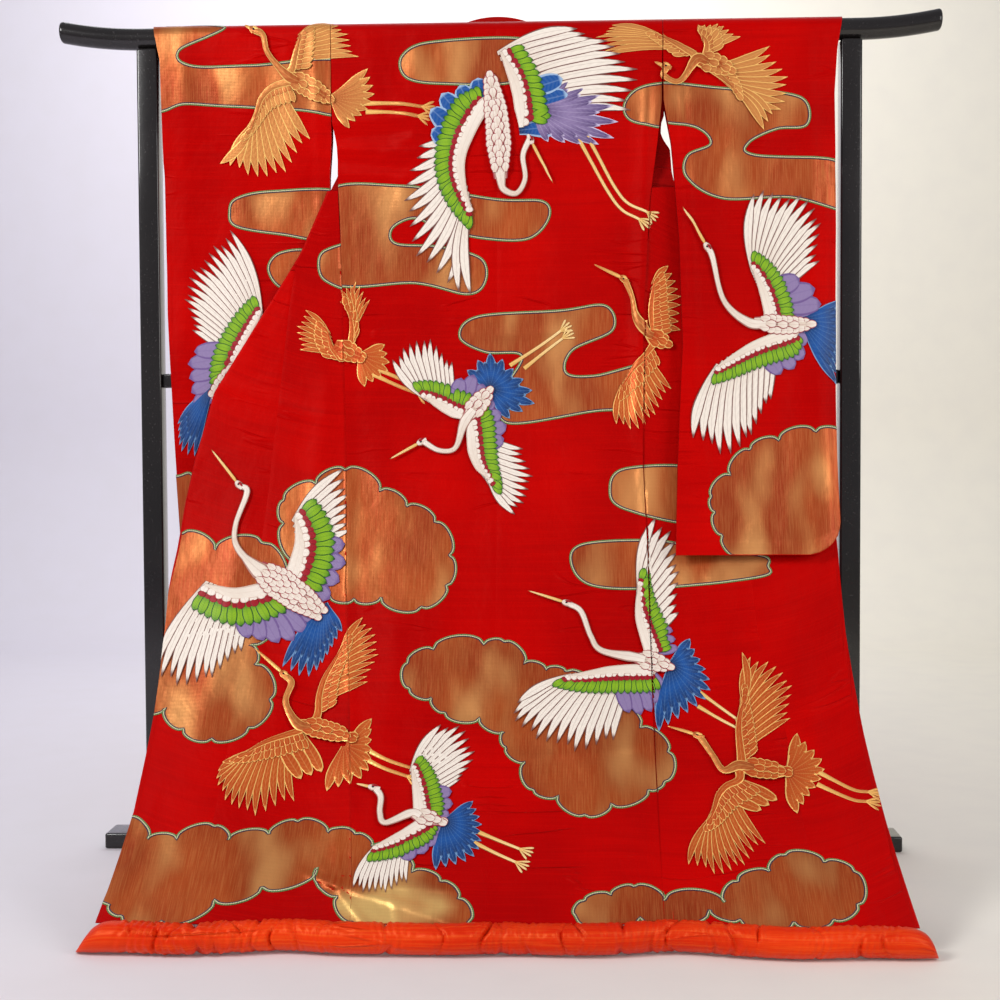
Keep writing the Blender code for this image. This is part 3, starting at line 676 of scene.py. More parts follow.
for side, sign in (("left", -1), ("right", 1)):
    for part, col in (("front", 1), ("rear", 2)):
        share = np.sin(np.linspace(-1, 1, 47) * np.pi / 2) * 0.12 + np.linspace(-1, 1, 47) * 0.88
        v = np.concatenate([np.linspace(0.0003, 0.0346, 9), steps(0.040, 1.0, 0.0068)])[:, None]
        x_in, x_out = at(SLEEVE_EDGE[side], v * SLEEVE_L, 2), at(SLEEVE_EDGE[side], v * SLEEVE_L, 1)
        x = x_in + (x_out - x_in) * (share[None, :] + 1) / 2
        d = np.where(v < 0.04, v + 0 * x, v * sleeve_end(x))
        wall = cloth("sleeve_panel_%s_%s" % (side, part), sleeve_point(side, col, sign * x, d, v + 0 * x),
                     [red, lining] if col == 1 else [lining, red])
        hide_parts("sleeve_%s_%s" % (side, part))
        robe.append(wall)
for panel in robe:
    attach(panel, "root")
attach(collar, "root")

# Hem roll: a tube of bright orange-red satin, padded with wadding and drawn in at uneven places, so it
# swells between them in soft creased pillows, and thins to a corner at each end.
# the pale orange third tone is a painted highlight, laid along the satin's streaks
hem_silk = satin("hem_satin", srgb(224, 50, 8), srgb(198, 22, 3), srgb(252, 124, 44), 0.24,
                 gloss=(1.0, 0.40, 0.13, 1.0), level=0.6)
END_L, END_R, TAPER = 0.618, 0.680, 0.045
stations = np.concatenate([-END_L + TAPER * (1 - np.cos(np.linspace(0, np.pi / 2, 12))),
                           steps(-END_L + 0.048, END_R - 0.048, 0.0026),
                           END_R - TAPER * (1 - np.cos(np.linspace(np.pi / 2, 0, 12)))])
turn = np.arange(40) * 2 * np.pi / 40
X, A = np.meshgrid(stations, turn, indexing="ij")
near = np.clip(np.minimum(X + END_L, END_R - X) / TAPER, 0, 1)
R = HEM_R * (0.42 + 0.58 * np.sqrt(1 - (1 - near) ** 2))
low = R * 0
seen = 0.62 + 0.38 * np.cos(A - 2.4)
for k, c in enumerate(PUCKERS):
    lean = 0.013 * math.sin(k * 2.3) * np.cos(A) + 0.004 * np.sin(A * 2 + k)
    wide = 0.0022 + 0.0024 * ((k * 5) % 4) / 3
    deep = 0.0040 + 0.0060 * ((k * 3) % 5) / 4
    off = X - c / 1000 + lean
    low = low + deep * np.exp(-(off / wide) ** 2) * seen * (0.62 + 0.38 * np.sin(A * 2 + k * 1.7))
    low = low + 0.0013 * np.exp(-(off / (wide * 6)) ** 2) * np.sin(off * 560 + A * (k % 3 - 1) * 2 + k) * seen
slope = 0.0011 * np.sin(X * 23 + 2.0 * np.sin(X * 11) + A) * seen
drawn = ease((X + 0.575) / 0.03) * ease((-0.345 - X) / 0.05)
ripple = (0.0005 + 0.0012 * drawn) * np.sin(X * 330 + 5 * np.sin(X * 37) + 4.5 * np.cos(A + X * 30)) * seen
swell = R - np.clip(low, -0.0012, 0.012) + ripple + slope - 0.0022
slant = 0.016 * ease((X + END_L - 0.06) / -0.06) - 0.008 * ease((END_R - 0.05 - X) / -0.05)
Y = -ROLL_Y + valley(X, HEM_Z) + swell * np.cos(A)
Z = np.maximum(HEM_Z + (R - HEM_R) + swell * np.sin(A), 0.0004)
points = np.stack([X - slant * (0.5 - 0.5 * np.sin(A)), Y, Z], -1)
roll_uv = np.stack([X + 0.003 * np.sin(X * 60), A * HEM_R], -1).reshape(-1, 2)
n, m = X.shape
caps = [[k, k + 1, m - 2 - k, m - 1 - k] for k in range(m // 2 - 1)]
caps = np.array([q[::-1] for q in caps] + [[(n - 1) * m + v for v in q] for q in caps])
quads = np.concatenate([grid_quads(n, m, close=True), caps])
roll_piece = make("hem_padded_roll", points.reshape(-1, 3), quads, [hem_silk], uv=roll_uv, sharp=70.0)
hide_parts("hem_roll")
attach(roll_piece, "root")

# Motifs on the satin: one map from a place on a piece of cloth (across, down, metres) to a point lying on
# its outer face, and one list that gathers grids of points until they are made into a single piece.
def face_of(on, x, d):
    """Middle of the named cloth's wall at x across and d down."""
    if on == "sleeve_l":
        return sleeve_point("left", 1, x, d)
    if on == "sleeve_r":
        return sleeve_point("right", 1, x, d)
    return body_point(x, d, -lip(x, d))


def edges_of(on, d):
    """Lowest and highest x of the named cloth at d down."""
    left, right = at(SIDE_SEAM["left"], d), at(SIDE_SEAM["right"], d)
    if on == "front_l":
        return -left - np.where(d < OPENING, 0.0, at(ROW["left"], d, 2) + GAP), -left - GAP
    if on == "front_r":
        return right + GAP, right + np.where(d < OPENING, 0.0, at(ROW["right"], d, 2) + GAP)
    ends = (1, 2) if on == "sleeve_l" else (2, 1)
    if on.startswith("sleeve"):
        side, sign = ("left", -1) if on == "sleeve_l" else ("right", 1)
        return tuple(sign * at(SLEEVE_EDGE[side], d, col) for col in ends)
    return -left, right


class Motifs:
    """Grids of points laid on cloth, each with its height over the face, its own UV and two colours."""

    def __init__(self):
        self.points, self.quads, self.uv, self.thread, self.line, self.count = [], [], [], [], [], 0

    def lay(self, on, flat, high, uv, thread, line, cells=True):
        """Lays an n x m grid: flat is (across, down) per point, high its height over the face, cells the
        quads to keep. It ends at the cloth's edge; on the body it is laid on the back and both fronts."""
        if on == "body":
            for part in ("front_l", "back", "front_r"):
                self.lay(part, flat, high, uv, thread, line, cells)
            return
        n, m = flat.shape[:2]
        x, d = flat[..., 0], np.clip(flat[..., 1], 0.001, HEM_D - 0.001)
        if on.startswith("sleeve"):
            d = np.minimum(d, sleeve_end(x) - 0.001)
        low, top = edges_of(on, d)
        inside = (x > low + 0.0002) & (x < top - 0.0002) & (np.abs(flat[..., 1] - d) < 0.002)
        quads = grid_quads(n, m)
        quads = quads[inside.ravel()[quads].any(1) & cells]
        if len(quads) == 0:
            return
        x = np.clip(x, low + 0.0002, top - 0.0002)
        e = 0.0003
        mid = face_of(on, x, d)
        nrm = np.cross(face_of(on, x, d + e) - mid, face_of(on, np.minimum(x + e, top - 0.0001), d)
                       - face_of(on, np.minimum(x + e, top - 0.0001) - e, d))
        nrm /= np.linalg.norm(nrm, axis=-1, keepdims=True)
        nrm *= -np.sign(nrm[..., 1:2] + 1e-12)
        points = (mid + nrm * (CLOTH / 2 + high[..., None])).reshape(-1, 3)
        a, b, c = (points[quads[:, k]] for k in range(3))
        turned = (np.cross(b - a, c - a) * nrm.reshape(-1, 3)[quads[:, 0]]).sum(-1).sum() < 0
        self.points.append(points)
        self.quads.append((quads[:, ::-1] if turned else quads) + self.count)
        self.uv.append(np.broadcast_to(uv, (n, m, 2)).reshape(-1, 2))
        for store, colour in ((self.thread, thread), (self.line, line)):
            rgb = np.broadcast_to(colour, (n, m, 3)).reshape(-1, 3)
            store.append(np.concatenate([rgb, np.ones((len(rgb), 1))], 1))
        self.count += n * m

    def piece(self, name, look):
        """Makes one piece of all the grids, without the points that no quad uses."""
        points, quads = np.concatenate(self.points), np.concatenate(self.quads)
        used, back = np.unique(quads, return_inverse=True)
        pick = lambda parts: np.concatenate(parts)[used]
        ob = make(name, points[used], back.reshape(quads.shape), [look], uv=pick(self.uv), sharp=80.0,
                  closed=False, colours={"Thread": pick(self.thread), "Line": pick(self.line)})
        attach(ob, "root")
        return ob


def smooth(points, count, close=False):
    """Catmull-Rom curve through points, `count` steps to each span, as an array."""
    p = np.asarray(points, float)
    n = len(p)
    if not close:
        p = np.concatenate([2 * p[:1] - p[1:2], p, 2 * p[-1:] - p[-2:-1]])
    spans = n if close else n - 1
    parts = []
    t = np.arange(count)[:, None] / count
    for k in range(spans):
        a, b, c, d = (p[(k - 1 + q) % n] for q in range(4)) if close else (p[k + q] for q in range(4))
        parts.append(0.5 * (2 * b + (c - a) * t + (2 * a - 5 * b + 4 * c - d) * t ** 2
                            + (3 * b - a - 3 * c + d) * t ** 3))
    return np.concatenate(parts + ([] if close else [p[-2:-1]]))


def even(path, step, close=False):
    """The path again at even steps along its length."""
    if close:
        path = np.concatenate([path, path[:1]])
    run = np.concatenate([[0], np.cumsum(np.linalg.norm(np.diff(path, axis=0), axis=1))])
    place = np.linspace(0, run[-1], max(int(run[-1] / step), 3) + 1)
    if close:
        place = place[:-1]
    return np.stack([np.interp(place, run, path[:, k]) for k in range(2)], 1), place


# Clouds: mist bars and lobed clouds woven in copper-gold foil thread, which shimmers in upright streaks and
# carries painted highlights in broad patches, brightest over the crumpled cloth near the hem. They are edged
# by three couched cords laid side by side: dark violet, cream and green, with painted shade in their twist.
foil = Look("cloud_foil", Specular_IOR_Level=0.3, Anisotropic=0.3)
uv, across, down = foil.place("Cloth")
broad = foil.streaks(uv, 5.0, 3.5, 2.0)
# broad soft patches of painted highlight: here the colour is mixed toward a pale gold and the foil made more
# metallic
painted_highlight = foil.streaks(uv, 12.0, 5.0, 1.5, 0.5)
streak = foil.streaks(uv, 620.0, 18.0, 3.0, 0.6)
pick_row = (down * 2300.0).sin() * 0.5 + 0.5
tone = foil.mix(broad.step(0.34, 0.68), srgb(150, 52, 12), srgb(178, 78, 28))
tone = foil.mix(painted_highlight.step(0.46, 0.76) * 0.75, tone, srgb(236, 172, 104))
tone = foil.mix(streak.step(0.40, 0.66) * 0.20, tone, srgb(222, 150, 84))
# painted highlight on the crumpled cloth near the hem: in this small patch the highlight noise mixes toward a
# very pale gold
crumple_highlight = 1.0 - (((across + 0.15) * 8.0).abs() + ((down - 1.735) * 18.0).abs()).step(0.5, 1.4)
tone = foil.mix(crumple_highlight * painted_highlight.step(0.25, 0.60) * 0.8, tone, srgb(250, 214, 132))
foil.set("Base Color", foil.mix(pick_row * 0.12, tone, srgb(140, 52, 22)))
foil.set("Metallic", painted_highlight.step(0.40, 0.65) * 0.25 + 0.40)
foil.set("Roughness", streak * 0.12 + 0.35)
under = foil.bump(foil.streaks(uv, 20.0, 14.0, 3.0), 0.0045, 0.7)
foil.set("Normal", foil.bump(streak + pick_row * 0.4, 0.0003, 0.6, under))

# Cords: each twisted, its own colour mixed down along the twist to a darker tone that is painted shade in the
# grooves
cord_look = Look("couched_cord", Specular_IOR_Level=0.4, Sheen_Weight=0.2)
uv, along, round_ = cord_look.place("Cloth")
twist = ((along * 1700.0) + (round_ * 6.283)).sin() * 0.5 + 0.5
own = cord_look.colour("Thread")
shade = cord_look.colour("Line")
cord_look.set("Base Color", cord_look.mix(twist.step(0.15, 0.8), shade, own))
cord_look.set("Roughness", twist * 0.2 + 0.38)
cord_look.set("Normal", cord_look.bump(twist, 0.0004, 0.8))

# kind and cloth, then the outline's turning points across and down, mm: a mist bar is one smooth curve
# through them, a lobed cloud is swelling arcs from each to the next.
CLOUDS = [
    ("mist", "sleeve_l", [(-701, 7), (-520, 16), (-605, 61), (-586, 91), (-470, 93), (-288, 88),
        (-289, 182), (-375, 177), (-514, 168), (-598, 163), (-643, 176), (-703, 175)]),
    ("mist", "sleeve_l", [(-290, 336), (-433, 330), (-500, 343), (-514, 367), (-501, 396), (-412, 412),
        (-291, 425)]),
    ("mist", "sleeve_l", [(-359, 449), (-417, 448), (-440, 477), (-417, 513), (-359, 520)]),
    ("mist", "front_l", [(-277, 439), (-329, 446), (-341, 471), (-329, 502), (-277, 516)]),
    ("mist", "body", [(64, 54), (-116, 53), (-178, 78), (-172, 118), (-110, 131), (45, 127)]),
    ("mist", "back", [(-328, 337), (-175, 325), (0, 352), (88, 357), (97, 391), (57, 427), (-31, 424),
        (-109, 404), (-158, 385), (-200, 404), (-193, 434), (-109, 441), (-31, 464), (-23, 508), (-57, 531),
        (-155, 509), (-329, 502)]),
    ("mist", "back", [(-71, 613), (-37, 575), (119, 565), (205, 556), (218, 602), (142, 640), (130, 684),
        (185, 690), (298, 669), (297, 746), (184, 757), (20, 779), (15, 716), (47, 650), (-23, 642)]),
    ("mist", "back", [(347, 142), (272, 145), (242, 178), (262, 208), (347, 215)]),
    ("mist", "sleeve_r", [(290, 140), (433, 150), (547, 161), (584, 180), (582, 221), (527, 227),
        (474, 253), (487, 277), (662, 294), (662, 378), (551, 356), (426, 357), (360, 319), (360, 276),
        (404, 254), (377, 222), (289, 202)]),
    ("mist", "body", [(379, 874), (240, 869), (211, 910), (239, 947), (376, 972)]),
    ("mist", "body", [(375, 1023), (289, 1009), (162, 1015), (138, 1050), (174, 1095), (291, 1102),
        (481, 1079), (496, 1058), (487, 1039)]),
    ("lobes", "body", [(-286, 869), (-339, 896), (-399, 927), (-397, 972), (-363, 1049), (-304, 1117),
        (-259, 1122), (-209, 1118), (-135, 1138), (-91, 1096), (-87, 1037), (-115, 971), (-169, 941),
        (-219, 910)]),
    ("lobes", "front_l", [(-681, 1044), (-587, 993), (-523, 1026), (-436, 1011), (-395, 1124), (-441, 1213),
        (-428, 1253), (-394, 1324), (-425, 1380), (-485, 1401), (-537, 1382), (-576, 1340), (-641, 1336)]),
    ("lobes", "sleeve_r", [(655, 815), (591, 800), (523, 816), (470, 833), (432, 881), (396, 923),
        (402, 952), (413, 996), (471, 1048), (551, 1068), (645, 1006)]),
    ("lobes", "body", [(16, 1208), (-19, 1214), (-110, 1223), (-154, 1249), (-148, 1301), (-108, 1319),
        (-84, 1349), (-23, 1360), (20, 1388), (24, 1420), (58, 1449), (72, 1505), (113, 1516), (157, 1553),
        (200, 1532), (264, 1507), (291, 1492), (301, 1431), (255, 1382), (186, 1324), (127, 1267),
        (92, 1264), (53, 1252)]),
    ("lobes", "body", [(-594, 1734), (-615, 1626), (-602, 1562), (-561, 1606), (-511, 1604), (-454, 1578),
        (-427, 1606), (-362, 1597), (-319, 1573), (-266, 1593), (-219, 1593), (-190, 1616), (-121, 1667),
        (-75, 1686), (-45, 1719), (-26, 1763), (-205, 1765), (-235, 1716), (-275, 1662), (-360, 1700),
        (-430, 1722), (-505, 1764), (-570, 1755)]),
    ("lobes", "body", [(138, 1750), (154, 1722), (195, 1711), (232, 1698), (279, 1729), (374, 1727),
        (397, 1683), (448, 1661), (475, 1629), (536, 1644), (580, 1660), (576, 1725), (535, 1753),
        (474, 1756), (393, 1756), (349, 1741), (239, 1758)]),
    ("mist", "sleeve_l", [(-713, 880), (-623, 881), (-584, 889), (-549, 1055), (-715, 1054)])]
# each cord: offset from the outline, its own colour, and a darker tone of it painted into the twist's grooves
# as shade
CORDS = [(0.0019, srgb(84, 128, 66), srgb(60, 98, 48)), (0.0, srgb(206, 204, 164), srgb(176, 172, 130)),
         (-0.0019, srgb(44, 24, 56), srgb(28, 16, 40))]
BULGE, CELL, CORD_STEP = 0.25, 0.0040, 0.0045


def outline(kind, points):
    """Closed outline, wound so that the cloud lies on its left: smooth, or arcs BULGE of each chord high."""
    p = np.array(points, float) / 1000
    area = (p[:, 0] * np.roll(p[:, 1], -1) - np.roll(p[:, 0], -1) * p[:, 1]).sum()
    if area < 0:
        p = p[::-1]
    if kind == "mist":
        return smooth(p, 12, close=True)
    t = (np.arange(14) / 14)[:, None]
    parts = []
    for a, b in zip(p, np.roll(p, -1, 0)):
        out = np.array([(b - a)[1], -(b - a)[0]])
        parts.append(a + (b - a) * t + out * BULGE * np.sqrt(np.clip(4 * t * (1 - t), 0, 1)))
    return np.concatenate(parts)


def within(path, x, d):
    """Whether each place lies inside the closed path, by counting the edges crossed to its right."""
    odd = np.zeros(x.shape, bool)
    for (ax, ad), (bx, bd) in zip(path, np.roll(path, -1, 0)):
        if ad != bd:
            cross = ((ad > d) != (bd > d)) & (x < (bx - ax) * (d - ad) / (bd - ad) + ax)
            odd ^= cross
    return odd


def pairs(u, v):
    """UV of a grid: u for each of its rows and v for each of its columns."""
    return np.stack(np.broadcast_arrays(u[:, None], v[None, :]), -1)


fills, cords = Motifs(), Motifs()
for kind, on, points in CLOUDS:
    path = outline(kind, points)
    low, high = path.min(0) - CELL, path.max(0) + CELL
    gx, gd = np.arange(low[0], high[0], CELL), np.arange(low[1], high[1], CELL)
    D, X = np.meshgrid(gd, gx, indexing="ij")
    keep = within(path, X[:-1, :-1] + CELL / 2, D[:-1, :-1] + CELL / 2)
    flat = np.stack([X, D], -1)
    fills.lay(on, flat, 0 * X + 0.0003, flat, (0.5, 0.2, 0.1), (0.5, 0.2, 0.1), keep.ravel())
    line, along = even(path, CORD_STEP, close=True)
    line, along = np.concatenate([line, line[:1]]), np.append(along, along[-1] + CORD_STEP)
    aim = np.roll(line[:-1], -1, 0) - np.roll(line[:-1], 1, 0)
    aim = np.concatenate([aim, aim[:1]])
    aim /= np.maximum(np.linalg.norm(aim, axis=1, keepdims=True), 1e-9)
    side = np.stack([aim[:, 1], -aim[:, 0]], 1)
    turn = np.linspace(-0.25, 1.25, 6) * np.pi
    for off, own, shade in CORDS:
        flat = line[:, None] + side[:, None] * (off + 0.0011 * np.cos(turn)[None, :, None])
        high = np.broadcast_to(0.0004 + 0.0009 * np.sin(turn), flat.shape[:2])
        cords.lay(on, flat, high, pairs(along, turn / 6.283), own, shade)
fills.piece("woven_clouds", foil)
cords.piece("cloud_cords", cord_look)

# Cranes: padded satin stitch in floss, feather by feather. Each feather has a pale or dark edge, a quill
# line and slanting stitches. The coloured birds are white, green, lavender and blue with crimson scales;
# the gold ones are copper thread with couched gold lines.
WHITE, CREAM, BLUSH = srgb(230, 220, 208), srgb(214, 198, 182), srgb(104, 58, 52)
LEAF, MOSS, DEEP = srgb(128, 170, 24), srgb(44, 112, 22), srgb(8, 56, 16)
SKY, SEA, LILAC, VIOLET = srgb(10, 74, 146), srgb(4, 30, 76), srgb(134, 116, 158), srgb(66, 44, 98)
CRIMSON, ROSE, HONEY, INK = srgb(150, 6, 26), srgb(150, 34, 50), srgb(222, 176, 96), srgb(30, 22, 30)
COPPER, AMBER, GILT = srgb(172, 80, 34), srgb(206, 132, 70), srgb(246, 196, 112)


def floss(name, **fixed):
    """Thread material: own colour, edge line where |v| or u nears 1, quill at v = 0, slanting stitches."""
    look = Look(name, **fixed)
    uv, u, v = look.place("Cloth")
    own = look.colour("Thread")
    line = look.colour("Line")
    spot = look.spot()
    fuzz = look.streaks(spot, 700.0, 700.0, 2.0, sz=260.0)
    off = v.abs()
    stitch = ((u * 70.0) + (off * 7.0) + fuzz * 3.0).sin() * 0.5 + 0.5
    rim = off.step(0.74, 0.84)
    rim = rim.math("MAXIMUM", u.step(0.90, 0.97))
    quill = 1.0 - off.step(0.03, 0.11)
    shade = look.mix(stitch * 0.06, own, line)
    shade = look.mix(quill * 0.22, shade, line)
    look.set("Base Color", look.mix(rim * 0.95, shade, line))
    look.set("Roughness", stitch * 0.14 + fuzz * 0.1 + (0.30 if "Metallic" in fixed else 0.36))
    look.set("Normal", look.bump(stitch * 0.35 + fuzz * 0.5 + (1.0 - rim) * 0.9, 0.0004, 0.65))
    return look


silk = floss("silk_floss", Sheen_Weight=0.05, Specular_IOR_Level=0.28)
gilt = floss("gold_thread", Metallic=0.40, Specular_IOR_Level=0.3)


def blend(tones, t):
    """Colours at shares t of a list of tones, straight between them."""
    stops = np.linspace(0, 1, len(tones))
    return np.stack([np.interp(t, stops, [c[k] for c in tones]) for k in range(3)], -1)


def feather(store, on, root, tip, half, tones, line, lift, bend=0.0, crown=0.0008, tip_at=0.74, steps_=13,
            point=0.0, dip=0.0003):
    """Leaf from root to tip, mm: half width opens to tip_at, then closes as (1 - s^1.7)^(0.5 + point/2), and
    is bent sideways by bend of its length; tones run along it and its height is lift + crown (1 - v^2), with
    its edges dip lower."""
    root, tip = np.asarray(root, float) / 1000, np.asarray(tip, float) / 1000
    way = tip - root
    side = np.array([-way[1], way[0]]) / max(np.hypot(*way), 1e-6)
    u = np.linspace(0, 1, steps_) ** 0.85
    v = np.linspace(-1, 1, 5)
    open_ = 0.45 + 0.55 * ease(u / tip_at)
    close_ = np.clip(1 - (np.clip(u - tip_at, 0, 1) / (1 - tip_at)) ** 1.7, 0, 1) ** (0.5 + 0.5 * point)
    width = half / 1000 * np.where(u < tip_at, open_, close_ * 0.98 + 0.02)
    mid = root + way * u[:, None] + side * (bend * np.hypot(*way) * 4 * u * (1 - u))[:, None]
    flat = mid[:, None] + side * (v[None, :] * width[:, None])[..., None]
    high = lift + crown * (1 - v ** 2)[None, :] * np.sqrt(close_)[:, None] - dip * (np.abs(v) > 0.99)[None, :]
    store.lay(on, flat, high, pairs(u, v), blend(tones, u)[:, None], np.array(line))


def ribbon(store, on, points, halves, tones, line, lift, crown=0.0010):
    """Band along a smooth curve through points, mm, its half widths and tones spread evenly along it."""
    path, run = even(smooth(np.array(points, float) / 1000, 10), 0.003)
    t = run / run[-1]
    aim = np.gradient(path, axis=0)
    aim /= np.linalg.norm(aim, axis=1, keepdims=True)
    side = np.stack([-aim[:, 1], aim[:, 0]], 1)
    v = np.linspace(-1, 1, 7)
    width = np.interp(t, np.linspace(0, 1, len(halves)), halves) / 1000
    flat = path[:, None] + side[:, None] * (v[None, :] * width[:, None])[..., None]
    high = lift + crown * (1 - v ** 2)[None, :] + 0 * t[:, None] - 0.0005 * (np.abs(v) > 0.99)[None, :]
    store.lay(on, flat, high, pairs(0.85 * t, v), blend(tones, t)[:, None], np.array(line))


def along_curve(points, t):
    """Places at shares t of the smooth curve through points."""
    path, run = even(smooth(points, 12), 1.0)
    return np.stack([np.interp(np.asarray(t) * run[-1], run, path[:, k]) for k in range(2)], 1)


def wing(store, on, lead, tips, n, inner, k, c, size, body):
    """Wing: n long feathers from the outer lead to the tips, k shorter ones nearer the body, rows of coverts
    along the lead whose number fits their width, and the broad shoulder band. c gives the tones."""
    n = int(n * 1.6)
    roots, ends = along_curve(lead, np.linspace(0.12, 1.0, n)), along_curve(tips, np.linspace(0, 1, n))
    gap = np.linalg.norm(np.diff(ends, axis=0), axis=1).mean()
    outward = np.array(lead[-1], float) - np.array(lead[0], float)
    for q in range(n):
        tip = roots[q] + (ends[q] - roots[q]) * (1.0 - 0.06 * ((q * 3) % 4) / 3)
        way = tip - roots[q]
        bulge = 0.07 * np.sign(-way[1] * outward[0] + way[0] * outward[1])
        feather(store, on, roots[q], tip, min(max(gap * c["slim"], 4.0), 10.0), c["long"], c["long_line"],
                0.0016 + 0.00012 * q, bend=bulge, tip_at=0.62, point=0.8, crown=0.0001, dip=0.0)
    all_ends = ends
    if k:
        roots = along_curve(lead, np.linspace(0.0, 0.45, k))
        ends2 = along_curve(inner, np.linspace(0, 1, k))
        gap = np.linalg.norm(np.diff(ends2, axis=0), axis=1).mean()
        for q in range(k):
            feather(store, on, roots[q], ends2[q], min(max(gap * 0.62, 9.0), 20.0), c["inner"],
                    c["inner_line"], 0.0022 + 0.00022 * q, tip_at=0.66, crown=0.0002, dip=0.0)
        first = np.linalg.norm(ends2[0] - ends[0]) > np.linalg.norm(ends2[-1] - ends[0])
        all_ends = np.concatenate([ends2 if first else ends2[::-1], ends])
    for start, reach, half, tones, line, lift in c["coverts"]:
        t = np.linspace(0.0, 0.98, 25)
        r, e = along_curve(lead, t), along_curve(all_ends, t)
        far = r + (e - r) / np.linalg.norm(e - r, axis=1, keepdims=True) * reach * size
        run = np.concatenate([[0], np.cumsum(np.linalg.norm(np.diff(far, axis=0), axis=1))])
        count = max(int(run[-1] / (half * size * 1.5)), 3)
        t = np.interp(np.linspace(0.02, 1, count) * run[-1], run, t)
        r, e = along_curve(lead, t), along_curve(all_ends, t)
        for q in range(count):
            room = np.hypot(*(e[q] - r[q]))
            way = (e[q] - r[q]) / room
            far_end = r[q] + way * min(reach * size * (1 - 0.2 * t[q] ** 3), room * 0.8)
            feather(store, on, r[q] + way * start * size, far_end, half * size, tones, line,
                    lift + 0.0011 + 0.00035 * (q % 2), tip_at=0.62, steps_=9, crown=0.0003, dip=0.0001)
    t = np.linspace(0, 1, 5)
    r, e = along_curve(lead, t), along_curve(all_ends, t)
    band = r + (e - r) / np.linalg.norm(e - r, axis=1, keepdims=True) * 6.0 * size
    near = body[np.argmin(np.linalg.norm(body - band[0], axis=1))]
    joined = 6 < np.hypot(*(near - band[0])) < 44
    band = np.concatenate([near[None], band]) if joined else band
    halves = np.array([15.0, 12.0, 10.5, 9.0, 6.0, 2.0] if joined else [4.0, 10.0, 10.5, 8.0, 2.0])
    ribbon(store, on, band, halves * size * c["band"], c["edge"], c["edge_line"], 0.0053, crown=0.0008)


def crane(store, on, bird, c):
    """A flying crane: legs, tail fan, wings, scaled body, curved neck, head, eye and beak, lowest first."""
    for path in bird["legs"]:
        ribbon(store, on, path, [4.6, 3.4, 3.2, 2.8], c["leg"], c["leg_line"], 0.0013)
        p, way = np.array(path[-1], float), np.array(path[-1], float) - np.array(path[-2], float)
        way /= np.hypot(*way)
        for a in (-0.55, -0.15, 0.2, 0.62):
            toe = (way[0] * math.cos(a) - way[1] * math.sin(a), way[0] * math.sin(a) + way[1] * math.cos(a))
            feather(store, on, p - way * 3, p + np.array(toe) * 24, 2.4, c["leg"], c["leg_line"], 0.0015,
                    steps_=7)
    if bird["tail"]:
        root, tips, n = bird["tail"]
        n = int(n * 1.5)
        ends = along_curve(tips, np.linspace(0, 1, 2 * n - 1))
        gap = np.linalg.norm(np.diff(ends, axis=0), axis=1).mean()
        for row, (first, scale) in enumerate(((0, 1.0), (1, 0.80))):
            for q in range(first, 2 * n - 1, 2):
                way = ends[q] - root
                feather(store, on, root + way * 0.06, root + way * scale, min(max(gap, 6.0), 10.0), c["tail"],
                        c["tail_line"], 0.0016 + 0.0004 * row + 0.00003 * q, tip_at=0.62, point=0.7,
                        bend=0.03)
    for lead, tips, n, inner, k in bird["wings"]:
        wing(store, on, lead, tips, n, inner, k, c, (bird["half"] / 19) ** 0.7,
             along_curve(bird["body"], np.linspace(0, 1, 9)))
    half = bird["half"]
    ribbon(store, on, bird["body"], [half * 0.6, half * 1.1, half, half * 0.5], c["body"], c["body_line"],
           0.0056)
    body = even(smooth(bird["body"], 8), 10.5)[0]
    aim = np.gradient(body, axis=0)
    aim /= np.linalg.norm(aim, axis=1, keepdims=True)
    for k in range(len(body) - 1, 1, -1):
        cross = np.array([-aim[k][1], aim[k][0]])
        wide = half * np.interp(k / (len(body) - 1), [0, 0.33, 0.67, 1], [0.6, 1.1, 1.0, 0.55]) - 6.0
        count = max(int(2 * wide / 13.5) + 1 + k % 2, 1)
        for j, q in enumerate(np.linspace(-1, 1, count) if count > 1 else [0.0]):
            p = body[k] + cross * wide * q
            feather(store, on, p - aim[k] * 10, p + aim[k] * 9, 8.2, c["scale"], c["scale_line"],
                    0.0070 - 0.0012 * q * q + 0.00018 * (len(body) - k) + 0.00012 * (j % 2), tip_at=0.5,
                    steps_=10, crown=0.0001, dip=0.0)
    if bird["neck"]:
        neck = bird["neck"]
        head = np.array(neck[1], float)
        ribbon(store, on, [neck[1]] + list(neck[2:]) + [tuple(along_curve(bird["body"], [0.3])[0])],
               [6.0, 5.2, 4.8, 5.2, 7.0, half * 0.62, half * 0.5], c["neck"], c["neck_line"],
               0.0064, crown=0.0014)
        beak = np.array(neck[0], float)
        way = (beak - head) / np.hypot(*(beak - head))
        feather(store, on, head - way * 8, head + way * 13, 6.8, c["neck"], c["neck_line"], 0.0068,
                tip_at=0.5, crown=0.0018)
        feather(store, on, head + way * 8, beak, 3.2, c["leg"], c["leg_line"], 0.0070, tip_at=0.10)
        upward = np.array([-way[1], way[0]]) * (-1 if way[0] > 0 else 1)
        feather(store, on, head - way * 4 + upward * 3.4, head + way * 7 + upward * 2.6, 2.8, c["crown"],
                c["crown_line"], 0.0082, tip_at=0.5, steps_=7)
        feather(store, on, head + way * 1.5, head + way * 5.5, 1.9, [INK, INK], INK, 0.0088, tip_at=0.5,
                steps_=7)


